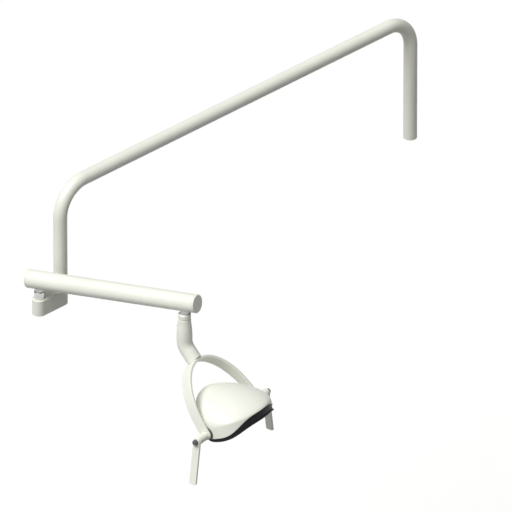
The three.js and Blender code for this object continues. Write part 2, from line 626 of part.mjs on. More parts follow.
/** A sheet of even height that follows the saddle of the front edge, from low to high above it. */
const saddleSheet = (outline, low, high) => cut(
  overlapOf(raised(outline, -60, 60), aboveSaddle(BEZEL_DEPTH - low, BEZEL_WAVE)),
  aboveSaddle(BEZEL_DEPTH - high, BEZEL_WAVE),
);

const shaftHoles = () => tiltHole().translate(0, HEAD_FORWARD, 0);

function rearShell() {
  const wall = cut(domeSolid(0), domeSolid(SHELL_WALL));
  return cut(overlapOf(wall, aboveSaddle(RIM_MEAN, RIM_WAVE)), shaftHoles());
}

function housing() {
  const inset = SHELL_WALL + 0.5;
  const wall = cut(domeSolid(inset), domeSolid(inset + HOUSING_WALL));
  const above = aboveSaddle(BEZEL_DEPTH - BEZEL_HEIGHT - GAP, BEZEL_WAVE);
  const below = block([-200, -200, -60], [200, 200, HOUSING_TOP]);
  return cut(overlapOf(overlapOf(wall, above), below), shaftHoles());
}

function bezel() {
  return saddleSheet(ellipseShape(U - 0.4, W - 0.4, [U - 10, W - 10]), 0, BEZEL_HEIGHT);
}

function frontShield() {
  const low = BEZEL_HEIGHT + GAP;
  return saddleSheet(ellipseShape(U - 7, W - 7), low, low + SHIELD_SHEET);
}

/** The reflecting dish: deeper along than across, so that its edge follows the shield. */
function reflector() {
  const [hole, flange, steps] = [0.21, 1.02, 5];
  const front = [];
  for (let k = 0; k <= steps; k++) front.push([hole + ((1 - hole) * k) / steps, 0]);
  const back = front.map(([r]) => [r, REFLECTOR_SHEET]).reverse();
  const form = turned([...front, [flange, 0], [flange, REFLECTOR_SHEET], ...back], 22);
  const at = form.attributes.position;
  for (let i = 0; i < at.count; i++) {
    const [x, y] = [at.getX(i), at.getY(i)];
    const drop = REFLECTOR_END_DROP * x * x + REFLECTOR_SIDE_DROP * y * y;
    const z = REFLECTOR_TOP - drop + at.getZ(i);
    at.setXYZ(i, REFLECTOR_HALF_LENGTH * x, REFLECTOR_HALF_WIDTH * y, z);
  }
  return form;
}

/** The strap behind the reflector that joins the two tilt shafts and carries the lamp socket. */
function headFrame() {
  const [ear, shoulder, top, t] = [FRAME_EAR, FRAME_SHOULDER, FRAME_TOP, FRAME_SHEET];
  const half = [[shoulder, top], [ear, 13], [ear, -7.3], [ear + t, -7.3], [ear + t, 14],
    [shoulder + 1, top + t]];
  const otherHalf = half.map(([x, z]) => [-x, z]).reverse();
  const outline = [...half, ...otherHalf].map(([x, z]) => new THREE.Vector2(x, z));
  const strap = standing(new THREE.Shape(outline), FRAME_WIDTH).translate(0, FRAME_SHIFT, 0);
  const studHole = bar(4, top - 7, top + 13, 12).translate(0, -HEAD_FORWARD, 0);
  return cut(strap, tiltHole(), studHole);
}

/** The cup in front of the lamp, hung from the head frame by two legs. */
function glareShield() {
  const cup = turned([[0, -5.6], [12, -5.6], [14, -3], [14, 6], [12.6, 6], [12.6, -2.4], [11.4, -4],
    [0, -4]], 20);
  const legs = [-1, 1].map((s) => block([s * 13.3 - 0.9, -1.5, 5], [s * 13.3 + 0.9, 1.5, FRAME_TOP - GAP]));
  return join(cup, ...legs);
}

function halogenLamp() {
  return turned([[0, 1.4], [2.2, 2], [4.6, 4.6], [5.6, 8], [5.6, 20], [4.8, 23], [3.6, 24], [3.6, 31],
    [0, 31]], 16);
}

function lampSocket() {
  const seat = FRAME_TOP - GAP;
  const body = turned([[0, 24.6], [9, 24.6], [9.4, 25.4], [9.4, 52], [7.5, seat], [3.6, seat],
    [3.6, seat + 7.4], [0, seat + 7.4]], 20);
  return cut(body, bar(4, 20, 32, 16));
}

/** A boss on the shell's end, seated on its curve, that fills the space to the yoke. */
function boss() {
  const edge = BOSS_RADIUS - 1.5;
  const body = turned([[0, 96], [BOSS_RADIUS, 96], [BOSS_RADIUS, BOSS_OUTER - 2], [edge, BOSS_OUTER],
    [0, BOSS_OUTER]], 24).rotateY(Math.PI / 2);
  return cut(body, domeSolid(-0.35).applyMatrix4(DISH), tiltHole());
}

/** A handle: a hub on the tilt shaft and a flat grip that hangs from its outer end. */
function handle() {
  const [outer, inner] = [HANDLE_OUTER, HANDLE_OUTER - HANDLE_THICKNESS];
  const [low, knee, half] = [-HANDLE_LENGTH, -HANDLE_HUB_RADIUS, HANDLE_WIDTH / 2];
  const side = [[inner, 20], [inner, knee], [inner + HANDLE_SPLAY, low], [outer + HANDLE_SPLAY, low],
    [outer, knee], [outer, 20]].map(([x, z]) => new THREE.Vector2(x, z));
  const corner = 4;
  const front = new THREE.Shape();
  front.absarc(0, 0, half, 0, Math.PI);
  front.lineTo(-half, low + corner);
  front.quadraticCurveTo(-half, low, corner - half, low);
  front.lineTo(half - corner, low);
  front.quadraticCurveTo(half, low, half, low + corner);
  const grip = overlapOf(
    standing(new THREE.Shape(side), 2 * HANDLE_WIDTH),
    seenAlongX(new THREE.Shape(front.getPoints(8)), inner - 1, outer + HANDLE_SPLAY + 1),
  );
  const hub = barX(HANDLE_HUB_RADIUS, HANDLE_INNER, inner + 1, 28);
  return cut(join(grip, hub), tiltHole());
}

/** The friction knob: fluted round its edge, bored for the tilt shaft, towards +X. */
function knob() {
  const [r, end] = [KNOB_RADIUS, KNOB_LENGTH];
  const body = turned([[0, 0], [r - 0.6, 0], [r, 1], [r, end - 2], [r - 2, end], [0, end]], 24);
  const flutes = [];
  for (let k = 0; k < 6; k++) {
    flutes.push(bar(1.4, -1, end + 1, 6).translate(r + 0.5, 0, 0).rotateZ((k * Math.PI) / 3));
  }
  return cut(body, bar(TILT_HOLE, -1, KNOB_BORE_DEPTH, 20), ...flutes).rotateY(Math.PI / 2);
}

function buildHead(group) {
  add(group, "rear_shell", rearShell(), IVORY, DISH);
  add(group, "reflector_housing", housing(), BLACK, DISH);
  add(group, "bezel", bezel(), BLACK, DISH);
  add(group, "front_shield", frontShield(), CLEAR, DISH);
  add(group, "reflector", reflector(), MIRROR, DISH);
  add(group, "head_frame", headFrame(), ZINC);
  add(group, "lamp_socket", lampSocket(), CERAMIC, DISH);
  add(group, "halogen_lamp", halogenLamp(), CLEAR, DISH);
  add(group, "glare_shield", glareShield(), STEEL, DISH);
  const shaft = barX(TILT_SHAFT_RADIUS, FRAME_EAR - 2, KNOB_START + KNOB_BORE_DEPTH - 0.5, 20);
  for (const s of [-1, 1]) {
    const side = s < 0 ? "left" : "right";
    const facing = turnedZ(s < 0 ? 180 : 0);
    add(group, `tilt_boss_${side}`, mirroredTo(s, boss()), GREY);
    add(group, `tilt_shaft_${side}`, mirroredTo(s, shaft), STEEL);
    add(group, `handle_${side}`, mirroredTo(s, handle()), IVORY, turnedX(HEAD_LEAN));
    add(group, `tension_knob_${side}`, knob(), GREY, facing.multiply(moved(KNOB_START, 0, 0)));
  }
}

/** The geometry as it is for the right side, or mirrored in X for the left. */
function mirroredTo(side, geometry) {
  return side > 0 ? geometry : toGeometry(toSolid(geometry).scale([-1, 1, 1]));
}

// ---------- assembly ----------

function groupAt(parent, matrix) {
  const group = new THREE.Group();
  group.applyMatrix4(matrix);
  parent.add(group);
  return group;
}

function buildLight() {
  const root = new THREE.Group();
  buildPost(root);
  const base = groupAt(root, moved(-POST_SPAN - PIVOT_OFFSET, 0, 0).multiply(turnedZ(ARM_YAW)));
  buildArmBase(base);
  const lifted = new THREE.Matrix4().makeRotationY(-deg(ARM_LIFT));
  const arm = groupAt(base, moved(0, 0, ARM_AXIS_HEIGHT).multiply(lifted));
  buildArm(arm);
  const link = groupAt(base, moved(0, 0, ARM_AXIS_HEIGHT + LINK_OFFSET).multiply(lifted));
  add(link, "level_link", levelLink(), ZINC);
  const reach = ARM_PIVOTS * Math.cos(deg(ARM_LIFT));
  const height = ARM_AXIS_HEIGHT + ARM_PIVOTS * Math.sin(deg(ARM_LIFT));
  const hub = groupAt(base, moved(reach, 0, height));
  buildFrontHub(hub, height);
  const swivel = groupAt(base, moved(reach, 0, 0).multiply(turnedZ(YOKE_YAW - ARM_YAW)));
  buildYoke(swivel);
  const head = groupAt(swivel, moved(0, TILT_REACH, TILT_HEIGHT).multiply(turnedX(-HEAD_LEAN)));
  buildHead(head);
  return root;
}

export default buildLight();
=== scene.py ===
"""The looks of a dental operatory light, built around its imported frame. Metres, +Z up.

Pieces are drawn in millimetres, each in the local frame of the assembly it belongs to, and placed
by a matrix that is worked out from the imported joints.
"""

import json
import math

import bmesh
import bpy
from mathutils import Matrix, Vector


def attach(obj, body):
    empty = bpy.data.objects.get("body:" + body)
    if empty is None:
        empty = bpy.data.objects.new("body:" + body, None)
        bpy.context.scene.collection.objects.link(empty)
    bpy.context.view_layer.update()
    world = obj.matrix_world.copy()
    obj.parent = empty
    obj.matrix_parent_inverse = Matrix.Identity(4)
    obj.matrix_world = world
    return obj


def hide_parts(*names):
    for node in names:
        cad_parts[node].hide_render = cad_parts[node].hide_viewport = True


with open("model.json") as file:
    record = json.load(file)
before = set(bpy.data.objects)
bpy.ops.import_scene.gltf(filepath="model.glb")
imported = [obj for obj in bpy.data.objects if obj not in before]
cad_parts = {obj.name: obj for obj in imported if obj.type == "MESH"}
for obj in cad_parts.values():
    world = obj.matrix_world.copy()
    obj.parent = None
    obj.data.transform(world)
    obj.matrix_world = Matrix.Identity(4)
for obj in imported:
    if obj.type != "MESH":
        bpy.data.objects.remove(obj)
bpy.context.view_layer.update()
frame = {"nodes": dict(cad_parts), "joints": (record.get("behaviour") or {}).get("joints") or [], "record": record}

# ---------- dimensions, in millimetres and radians, as the frame has them ----------

MM = 0.001
GAP = 0.3  # between pieces that fit together
WALL = 2.5  # of the post's and the arm's tubes

POST_RADIUS = 19.05
BEAM_HEIGHT = 377
BEND_RADIUS = 88
TUBE_RIM = 0.6
PLUG_FLANGE = 3
PLUG_TOP = 22
PLUG_VENT = 3.5
BORE = POST_RADIUS - WALL

BLOCK_RADIUS = 19.5
BLOCK_BOTTOM = 27
BLOCK_TOP = 74
SPIGOT_TOP = BLOCK_TOP + 36
LOCK_SCREW_HEIGHT = BLOCK_TOP + 20
LOCK_SCREW_HOLE = 3.3
PIVOT_OFFSET = 80  # from the post's leg out to the arm's swivel axis
COVER_INSET = 2.2
COVER_TOP = BLOCK_BOTTOM + 3
POCKET_TOP = 44
POCKET_RADIUS = 13.5
SPIGOT_BORE = 6
COVER_SCREW_SIDE = 11
COVER_SCREW_HOLE = 2.2
WASHER_RADIUS = 15.5
WASHER_TOP = BLOCK_TOP + 2.1
SLEEVE_RADIUS = 14

ARM_RADIUS = 25.4
ARM_BORE = ARM_RADIUS - WALL
REAR_OVERHANG = 34
FRONT_OVERHANG = 41
CAP_FLANGE = 4.7
HUB_RADIUS = 15
HUB_HALF_WIDTH = 16
NECK_RADIUS = 12
NECK_DEPTH = 34
SHAFT_RADIUS = 7
LINK_OFFSET = 10.5  # of the level link's pins above the arm's
LINK_SLOT = 3.3  # half width of the slot for the level link
LINK_SLOT_FLOOR = 4.4
PIN_RADIUS = 3.2
PIN_INSET = 0.4
LINK_PIN_RADIUS = 2.3
SLOT_HALF_LENGTH = 25.2
SLOT_HALF_WIDTH = NECK_RADIUS + 0.8
COLLAR_HEIGHT = 13.6
COLLAR_CHAMFER = 2.5
STEM_WASHER_RADIUS = 16.4

YOKE_LEAN = math.radians(42)
YOKE_HEIGHT = 179
YOKE_HALF_SPAN = 117
YOKE_THICKNESS = 8
YOKE_TOP_WIDTH = 35
YOKE_TIP_WIDTH = 28
YOKE_TAPER_HEIGHT = 116
YOKE_INNER = YOKE_HALF_SPAN - YOKE_THICKNESS / 2
YOKE_OUTER = YOKE_HALF_SPAN + YOKE_THICKNESS / 2
YOKE_BOLT_SIDE = 11
YOKE_BOLT_HOLE = 3.3
YOKE_BOLT_RECESS = 5.8
YOKE_BOLT_SEAT = YOKE_HEIGHT - 2
FRICTION_SEAT = 2.4
FRICTION_RADIUS = 11
FRICTION_THICKNESS = 1.7
STEM_TOP = 139.5
STEM_TOP_RADIUS = 17.4
STEM_RADIUS = 21.5
STEM_BEND_RADIUS = 45
STEM_SCREW_HEIGHT = 110
STEM_SCREW_HOLE = 2.8
SPINDLE_BOTTOM = 91

HEAD_LEAN = math.radians(21)
HEAD_FORWARD = 24  # of the dish's middle from the tilt axis
HEAD_HALF_LENGTH = 109
HEAD_HALF_WIDTH = 86
DOME_FOOT = 16  # height where the dome meets the skirt
DOME_HEIGHT = 93
DOME_SHIFT = 70  # of the crown from the dish's middle
DOME_EASE = 0.15  # eases the shift in above the skirt
DOME_POWER = 1.15  # 1 is an ellipse, more is leaner
SKIRT_DROP = 60  # of the skirt for each level below the dome
SHELL_WALL = 2.6
RIM_MEAN = 0.4  # mean depth of the shell's edge, and its wave
RIM_WAVE = 16.3
HOUSING_INSET = SHELL_WALL + 0.5
HOUSING_WALL = 2.4
HOUSING_TOP = 26
BEZEL_INSET = 0.4
BEZEL_WIDTH = 9.6
BEZEL_DEPTH = 17.3  # mean depth of the front edge, and its wave
BEZEL_WAVE = 9.2
BEZEL_HEIGHT = 3.7
SHIELD_INSET = 7
SHIELD_SHEET = 2.4
SHIELD_RIM = 0.6
REFLECTOR_TOP = 35
REFLECTOR_HALF_LENGTH = 97
REFLECTOR_HALF_WIDTH = 71
REFLECTOR_END_DROP = 52
REFLECTOR_SIDE_DROP = 34
REFLECTOR_SHEET = 1.8
REFLECTOR_FLANGE = 1.02  # share of the dish's radii
LAMP_HOLE = 0.21  # share of the dish's radii
FRAME_EAR = 90  # of the head frame, out to its upright ears
FRAME_TOP = 57
TILT_SHAFT_RADIUS = 5
TILT_HOLE = 5.4
ACROSS_HEAD = 150  # past the yoke's tips, for cutters
BOSS_RADIUS = 17
BOSS_INNER = 96
BOSS_OUTER = YOKE_INNER - FRICTION_SEAT - GAP
BOSS_CLEARANCE = 0.35
HANDLE_INNER = YOKE_OUTER + 2 + GAP
HANDLE_OUTER = HANDLE_INNER + 39.7
HANDLE_LENGTH = 123
HANDLE_THICKNESS = 7
HANDLE_WIDTH = 22
HANDLE_SPLAY = 18  # of the grip's foot outwards
HANDLE_HUB_RADIUS = 12
KNOB_START = HANDLE_OUTER + GAP
KNOB_LENGTH = 9
KNOB_RADIUS = 7.6
KNOB_BORE_DEPTH = 6

# ---------- the frame's own places ----------

RECORD = frame["record"]
JOINTS = {joint["name"]: joint for joint in frame["joints"]}
BODY_OF = {node: body for body, nodes in RECORD["behaviour"]["bodies"].items() for node in nodes}
SLOT_OF = {part["node"]: part["material_slot"] for part in RECORD["subparts"]}


def pivot(joint):
    return Vector(JOINTS[joint]["pos_m"])


def moved(x, y, z):
    """A shift in millimetres."""
    return Matrix.Translation(Vector((x, y, z)) * MM)


def turned(angle, axis):
    return Matrix.Rotation(angle, 4, axis)


LIFT = pivot("arm_lift")
FRONT = pivot("front_level")
TILT = pivot("head_tilt")
ARM = FRONT - LIFT
ARM_YAW = math.atan2(ARM.y, ARM.x)
ARM_RISE = math.asin(ARM.z / ARM.length)
ARM_PIVOTS = ARM.length / MM
TILT_AXIS = Vector(JOINTS["head_tilt"]["axis"])
YOKE_YAW = math.atan2(TILT_AXIS.y, TILT_AXIS.x)
POST_SPAN = -LIFT.x / MM - PIVOT_OFFSET
REACH = -math.hypot(TILT.x - FRONT.x, TILT.y - FRONT.y) / MM
TILT_HEIGHT = TILT.z / MM
HUB_HEIGHT = FRONT.z / MM

AT_POST = Matrix.Identity(4)
AT_LEG = moved(-POST_SPAN, 0, 0)
AT_PIVOT = Matrix.Translation((LIFT.x, LIFT.y, 0)) @ turned(ARM_YAW, "Z")
AT_REAR_HUB = Matrix.Translation(LIFT) @ turned(ARM_YAW, "Z")
AT_ARM = AT_REAR_HUB @ turned(-ARM_RISE, "Y")
AT_FRONT = Matrix.Translation((FRONT.x, FRONT.y, 0)) @ turned(ARM_YAW, "Z")
AT_FRONT_HUB = Matrix.Translation(FRONT) @ turned(ARM_YAW, "Z")
AT_STEM = Matrix.Translation((FRONT.x, FRONT.y, 0)) @ turned(YOKE_YAW, "Z")
AT_BAIL = Matrix.Translation(TILT) @ turned(YOKE_YAW, "Z") @ turned(-YOKE_LEAN, "X")
AT_HEAD = Matrix.Translation(TILT) @ turned(YOKE_YAW, "Z") @ turned(-HEAD_LEAN, "X")
AT_DISH = AT_HEAD @ moved(0, -HEAD_FORWARD, 0)
ALONG_X = turned(math.pi / 2, "Y")
ALONG_Y = turned(-math.pi / 2, "X")
SIDES = {"left": Matrix.Diagonal((-1, 1, 1, 1)), "right": Matrix.Identity(4)}

# ---------- mesh helpers, in millimetres ----------

DOUBLED = 1e-4  # closer points are one
ON_AXIS = 1e-6  # a smaller radius is the axis itself


def solid(vertices, faces):
    """A closed mesh object with its doubled points joined and its faces turned outwards."""
    mesh = bpy.data.meshes.new("solid")
    mesh.from_pydata([tuple(v) for v in vertices], [], faces)
    shape = bmesh.new()
    shape.from_mesh(mesh)
    bmesh.ops.remove_doubles(shape, verts=shape.verts, dist=DOUBLED)
    bmesh.ops.recalc_face_normals(shape, faces=shape.faces)
    shape.to_mesh(mesh)
    shape.free()
    made = bpy.data.objects.new("solid", mesh)
    bpy.context.scene.collection.objects.link(made)
    return made


def placed(made, matrix):
    """Moves a drawing by a matrix whose shift is in metres, while the drawing is in millimetres."""
    local = matrix.copy()
    local.translation = matrix.translation / MM
    made.data.transform(local)
    if local.determinant() < 0:
        made.data.flip_normals()
    return made


def combined(base, tools, operation):
    """Joins tools to a solid or cuts them from it, and uses them up."""
    for tool in tools:
        step = base.modifiers.new("step", "BOOLEAN")
        step.operation = operation
        step.solver = "EXACT"
        step.object = tool
        graph = bpy.context.evaluated_depsgraph_get()
        result = bpy.data.meshes.new_from_object(base.evaluated_get(graph))
        base.modifiers.clear()
        spent = [base.data, tool.data]
        base.data = result
        bpy.data.objects.remove(tool)
        for mesh in spent:
            bpy.data.meshes.remove(mesh)
    return base


def cut(base, *tools):
    return combined(base, tools, "DIFFERENCE")


def join(base, *tools):
    return combined(base, tools, "UNION")


def bent(made, way, cuts, rule):
    """Cuts a slab across at distances along a direction, then moves each of its points by a rule."""
    shape = bmesh.new()
    shape.from_mesh(made.data)
    for distance in cuts:
        parts = [*shape.verts, *shape.edges, *shape.faces]
        bmesh.ops.bisect_plane(shape, geom=parts, plane_co=way * distance, plane_no=way, dist=1e-3)
    for vertex in shape.verts:
        vertex.co = rule(*vertex.co)
    bmesh.ops.recalc_face_normals(shape, faces=shape.faces)
    shape.to_mesh(made.data)
    shape.free()
    return made


def circle(sides):
    """Equal angles all the way round."""
    return [2 * math.pi * k / sides for k in range(sides)]


def quarter(steps):
    """Equal angles from 0 to a right angle, both included."""
    return [math.pi / 2 * k / steps for k in range(steps + 1)]


def rounded(points, steps=5):
    """A polygon of (x, y) or (x, y, radius) points, each corner with a radius turned into an arc."""
    corners = [(Vector(p[:2]), p[2] if len(p) > 2 else 0) for p in points]
    outline = []
    for i, (corner, radius) in enumerate(corners):
        before = corners[i - 1][0] - corner
        after = corners[(i + 1) % len(corners)][0] - corner
        if not radius:
            outline.append(corner)
            continue
        reach = min(before.length, after.length)
        before.normalize()
        after.normalize()
        half = before.angle(after) / 2
        setback = min(radius / math.tan(half), 0.499 * reach)
        radius = setback * math.tan(half)
        centre = corner + (before + after).normalized() * radius / math.sin(half)
        start = corner + before * setback - centre
        end = corner + after * setback - centre
        sweep = math.atan2(start.x * end.y - start.y * end.x, start.dot(end))
        for k in range(steps + 1):
            a = sweep * k / steps
            outline.append(centre + Vector((start.x * math.cos(a) - start.y * math.sin(a),
                                            start.x * math.sin(a) + start.y * math.cos(a))))
    return outline


def skin(loops, closed=False):
    """Joins loops of equal length in order. An open skin is capped at both ends."""
    count = len(loops[0])
    vertices = [v for loop in loops for v in loop]
    faces = []
    for i in range(len(loops) if closed else len(loops) - 1):
        low, high = i * count, (i + 1) % len(loops) * count
        for k in range(count):
            n = (k + 1) % count
            faces.append((low + k, low + n, high + n, high + k))
    if not closed:
        faces.append(tuple(range(count)))
        faces.append(tuple(range(len(vertices) - count, len(vertices))))
    return solid(vertices, faces)


def lathe(profile, sides=96, wave=None):
    """A profile of (radius, height) points turned about Z.

    It starts and ends on the axis, or closes on itself. A wave scales the radius by angle.
    """
    vertices, rows, faces = [], [], []
    for radius, height in profile:
        if radius < ON_AXIS:
            rows.append([len(vertices)] * sides)
            vertices.append((0, 0, height))
            continue
        rows.append(range(len(vertices), len(vertices) + sides))
        for a in circle(sides):
            r = radius * (wave(a) if wave else 1)
            vertices.append((r * math.cos(a), r * math.sin(a), height))
    starts_on_axis = profile[0][0] < ON_AXIS
    for low, high in zip(rows, rows[1:] if starts_on_axis else [*rows[1:], rows[0]]):
        for k in range(sides):
            n = (k + 1) % sides
            corners = list(dict.fromkeys((low[k], low[n], high[n], high[k])))
            if len(corners) > 2:
                faces.append(corners)
    return solid(vertices, faces)


def ring(outer, bore, low, high, rim=0.4, sides=96):
    """A ring along Z with rounded rims, the inner ones half as much."""
    corners = [(bore, low, rim / 2), (outer, low, rim), (outer, high, rim), (bore, high, rim / 2)]
    return lathe(rounded(corners, 4), sides)


def rod(radius, low, high, rim=0.0, sides=64):
    """A round bar along Z, its ends rounded where rim is given."""
    return lathe(rounded([(0, low), (radius, low, rim), (radius, high, rim), (0, high)], 4), sides)


def shrunk(outline, depth):
    """The outline moved inwards by a depth."""
    area = sum(p.x * q.y - q.x * p.y for p, q in zip(outline, [*outline[1:], outline[0]]))
    side = 1 if area > 0 else -1
    inner = []
    for i, point in enumerate(outline):
        before = (point - outline[i - 1]).normalized()
        after = (outline[(i + 1) % len(outline)] - point).normalized()
        normal = Vector((-before.y - after.y, before.x + after.x)).normalized() * side
        miter = max(0.5, normal.dot(Vector((-after.y, after.x)) * side))
        inner.append(point + normal * depth / miter)
    return inner


def slab(outline, low, high, rim, steps=4):
    """A flat outline raised from low to high along Z, its rims rounded."""
    loops = []
    for height, way in ((low, 1), (high, -1)):
        edge = []
        for a in quarter(steps):
            level = height + way * rim * (1 - math.cos(a))
            edge.append([(p.x, p.y, level) for p in shrunk(outline, rim * (1 - math.sin(a)))])
        loops += edge if way > 0 else edge[::-1]
    return skin(loops)


def obround(x0, x1, radius, steps=32):
    """Two round ends joined by straight sides, along X."""
    outline = []
    for centre, start in ((x1, -math.pi / 2), (x0, math.pi / 2)):
        for k in range(steps + 1):
            a = start + math.pi * k / steps
            outline.append(Vector((centre + radius * math.cos(a), radius * math.sin(a))))
    return outline


def block(low, high):
    (x0, y0, z0), (x1, y1, z1) = low, high
    bottom = [(x0, y0, z0), (x1, y0, z0), (x1, y1, z0), (x0, y1, z0)]
    return skin([bottom, [(x, y, z1) for x, y, z in bottom]])


def round_loop(point, tangent, across, radius):
    """A ring of points square to a path that bends about one direction, across."""
    side = tangent.cross(across)
    return [point + radius * (math.cos(a) * side + math.sin(a) * across) for a in circle(72)]


def piece(node, made, at, look=None, crisp=30, flats=True):
    """Places a finished drawing, and lets it stand for its node in the node's body, slot and material."""
    placed(made, at)
    made.data.transform(Matrix.Scale(MM, 4))
    made.name = node + "_fine"
    made.data.name = made.name
    made.data.polygons.foreach_set("use_smooth", [True] * len(made.data.polygons))
    made.data.set_sharp_from_angle(angle=math.radians(crisp))
    made.data.materials.clear()
    made.data.materials.append(look or LOOKS[SLOT_OF[node]])
    if flats:
        even = made.modifiers.new("even", "WEIGHTED_NORMAL")
        even.keep_sharp = True
        even.weight = 100
    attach(made, BODY_OF[node])
    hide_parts(node)


# ---------- materials ----------


class Look:
    """A material whose nodes are added by short calls."""

    def __init__(self, name):
        self.material = bpy.data.materials.new(name)
        self.material.use_nodes = True
        self.tree = self.material.node_tree
        self.tree.nodes.clear()

    def node(self, kind, settings=None, **inputs):
        made = self.tree.nodes.new("ShaderNode" + kind)
        for name, value in (settings or {}).items():
            setattr(made, name, value)
        for name, value in inputs.items():
            self.feed(made.inputs[name.replace("_", " ")], value)
        return made

    def feed(self, socket, value):
        if isinstance(value, bpy.types.NodeSocket):
            self.tree.links.new(value, socket)
        else:
            socket.default_value = value

    def place(self, stretch=(1, 1, 1), turn=(0, 0, 0)):
        """Coordinates on the object, in metres, stretched where wanted."""
        where = self.node("TexCoord").outputs["Object"]
        return self.node("Mapping", Vector=where, Rotation=turn, Scale=stretch).outputs["Vector"]

    def noise(self, size, detail, vector=None):
        """Noise from 0 to 1 whose features are about the size, in metres."""
        vector = vector or self.place()
        return self.node("TexNoise", Vector=vector, Scale=1 / size, Detail=detail).outputs["Fac"]

    def remap(self, value, low, high, start=0.3, end=0.7):
        made = self.node("MapRange", Value=value, From_Min=start, From_Max=end, To_Min=low, To_Max=high)
        return made.outputs["Result"]

    def math(self, operation, a, b):
        made = self.node("Math", {"operation": operation})
        self.feed(made.inputs[0], a)
        self.feed(made.inputs[1], b)
        return made.outputs[0]

    def blend(self, share, a, b):
        """Colour a turning into colour b as share goes from 0 to 1."""
        made = self.node("Mix", {"data_type": "RGBA"})
        for socket, value in zip((made.inputs[0], made.inputs[6], made.inputs[7]), (share, a, b)):
            self.feed(socket, value)
        return made.outputs[2]

    def bump(self, height, depth, strength, normal=None):
        made = self.node("Bump", Height=height, Distance=depth, Strength=strength)
        if normal:
            self.feed(made.inputs["Normal"], normal)
        return made.outputs["Normal"]

    def edges(self, radius):
        """1 on worn edges, 0 on flat faces."""
        soft = self.node("Bevel", {"samples": 4}, Radius=radius).outputs["Normal"]
        true = self.node("NewGeometry").outputs["Normal"]
        along = self.node("VectorMath", {"operation": "DOT_PRODUCT"})
        self.feed(along.inputs[0], soft)
        self.feed(along.inputs[1], true)
        return self.remap(along.outputs["Value"], 1, 0, 0.72, 0.985)

    def finish(self, **inputs):
        return self.out(self.node("BsdfPrincipled", **inputs).outputs[0])

    def out(self, shader):
        self.tree.links.new(shader, self.node("OutputMaterial").inputs["Surface"])
        return self.material


def shade(color, factor):
    """A slot's colour made lighter or darker, and opaque."""
    return (*[min(1, c * factor) for c in color[:3]], 1)


SLOT_COLORS = {m["slot"]: m["base_color"] for m in RECORD["materials"]}


def coated(slot, grain, rough, depth, worn, sheen=0.5):
    """Paint or moulded plastic: a fine skin over slow waves, faint clouds of colour, and rubbed edges."""
    look = Look(slot)
    color = SLOT_COLORS[slot]
    clouds = look.remap(look.noise(0.09, 4), 0, 1)
    tint = look.blend(clouds, shade(color, 0.965), shade(color, 1.02))
    rubbed = look.math("MULTIPLY", look.edges(0.0012), look.remap(look.noise(0.012, 5), 0.15, 1))
    tint = look.blend(look.math("MULTIPLY", rubbed, worn), tint, shade(color, 1.12))
    height = look.noise(grain, 2)
    smears = look.noise(0.035, 5)
    roughness = look.math("SUBTRACT", look.remap(smears, rough - 0.06, rough + 0.07),
                          look.math("MULTIPLY", rubbed, 0.08))
    waves = look.bump(look.noise(0.011, 1), 0.00035, 0.35)
    normal = look.bump(height, depth, 0.5, waves)
    return look.finish(Base_Color=tint, Roughness=roughness, Normal=normal, Specular_IOR_Level=sheen)


def turned_metal(name, stretch, turn=(0, 0, 0)):
    """Bright steel with the fine rings of a lathe tool. Stretch is large along the bar's axis."""
    look = Look(name)
    color = SLOT_COLORS["steel"]
    rings = look.noise(0.02, 6, look.place(stretch, turn))
    clouds = look.remap(look.noise(0.02, 4), 0, 1)
    tint = look.blend(clouds, shade(color, 0.86), shade(color, 1.1))
    roughness = look.remap(rings, 0.2, 0.38)
    normal = look.bump(rings, 0.00006, 0.7)
    return look.finish(Base_Color=tint, Metallic=1.0, Roughness=roughness, Normal=normal)


def plated():
    """Zinc plate: mottled grey with duller patches."""
    look = Look("zinc")
    color = SLOT_COLORS["zinc"]
    spangle = look.node("TexVoronoi", Vector=look.place(), Scale=420.0).outputs["Color"]
    grey = look.node("RGBToBW", Color=spangle).outputs[0]
    patches = look.noise(0.012, 5)
    tint = look.blend(look.math("MULTIPLY", grey, patches), shade(color, 0.8), shade(color, 1.3))
    roughness = look.remap(patches, 0.3, 0.55)
    normal = look.bump(look.noise(0.0011, 3), 0.0001, 0.4)
    return look.finish(Base_Color=tint, Metallic=1.0, Roughness=roughness, Normal=normal)


def mirror():
    """Bright aluminium under a clear layer, with a faint haze."""
    look = Look("mirror")
    color = SLOT_COLORS["mirror"]
    haze = look.noise(0.04, 5)
    tint = look.blend(look.remap(haze, 0, 1), shade(color, 0.93), shade(color, 1.04))
    normal = look.bump(look.noise(0.0016, 2), 0.00005, 0.3)
    return look.finish(Base_Color=tint, Metallic=1.0, Roughness=look.remap(haze, 0.06, 0.16), Normal=normal)


def clear(slot):
    """Thin clear plastic or quartz: what is behind shows, and the surface only reflects."""
    look = Look(slot)
    tint = shade(SLOT_COLORS[slot], 1)
    smears = look.remap(look.noise(0.03, 5), 0.03, 0.14)
    normal = look.bump(look.noise(0.02, 2), 0.0002, 0.3)
    gloss = look.node("BsdfGlossy", Color=(1, 1, 1, 1), Roughness=smears, Normal=normal)
    through = look.node("BsdfTransparent", Color=tint)
    share = look.node("Fresnel", IOR=1.49, Normal=normal).outputs[0]
    mixed = look.node("MixShader", Fac=share)
    look.feed(mixed.inputs[1], through.outputs[0])
    look.feed(mixed.inputs[2], gloss.outputs[0])
    return look.out(mixed.outputs[0])


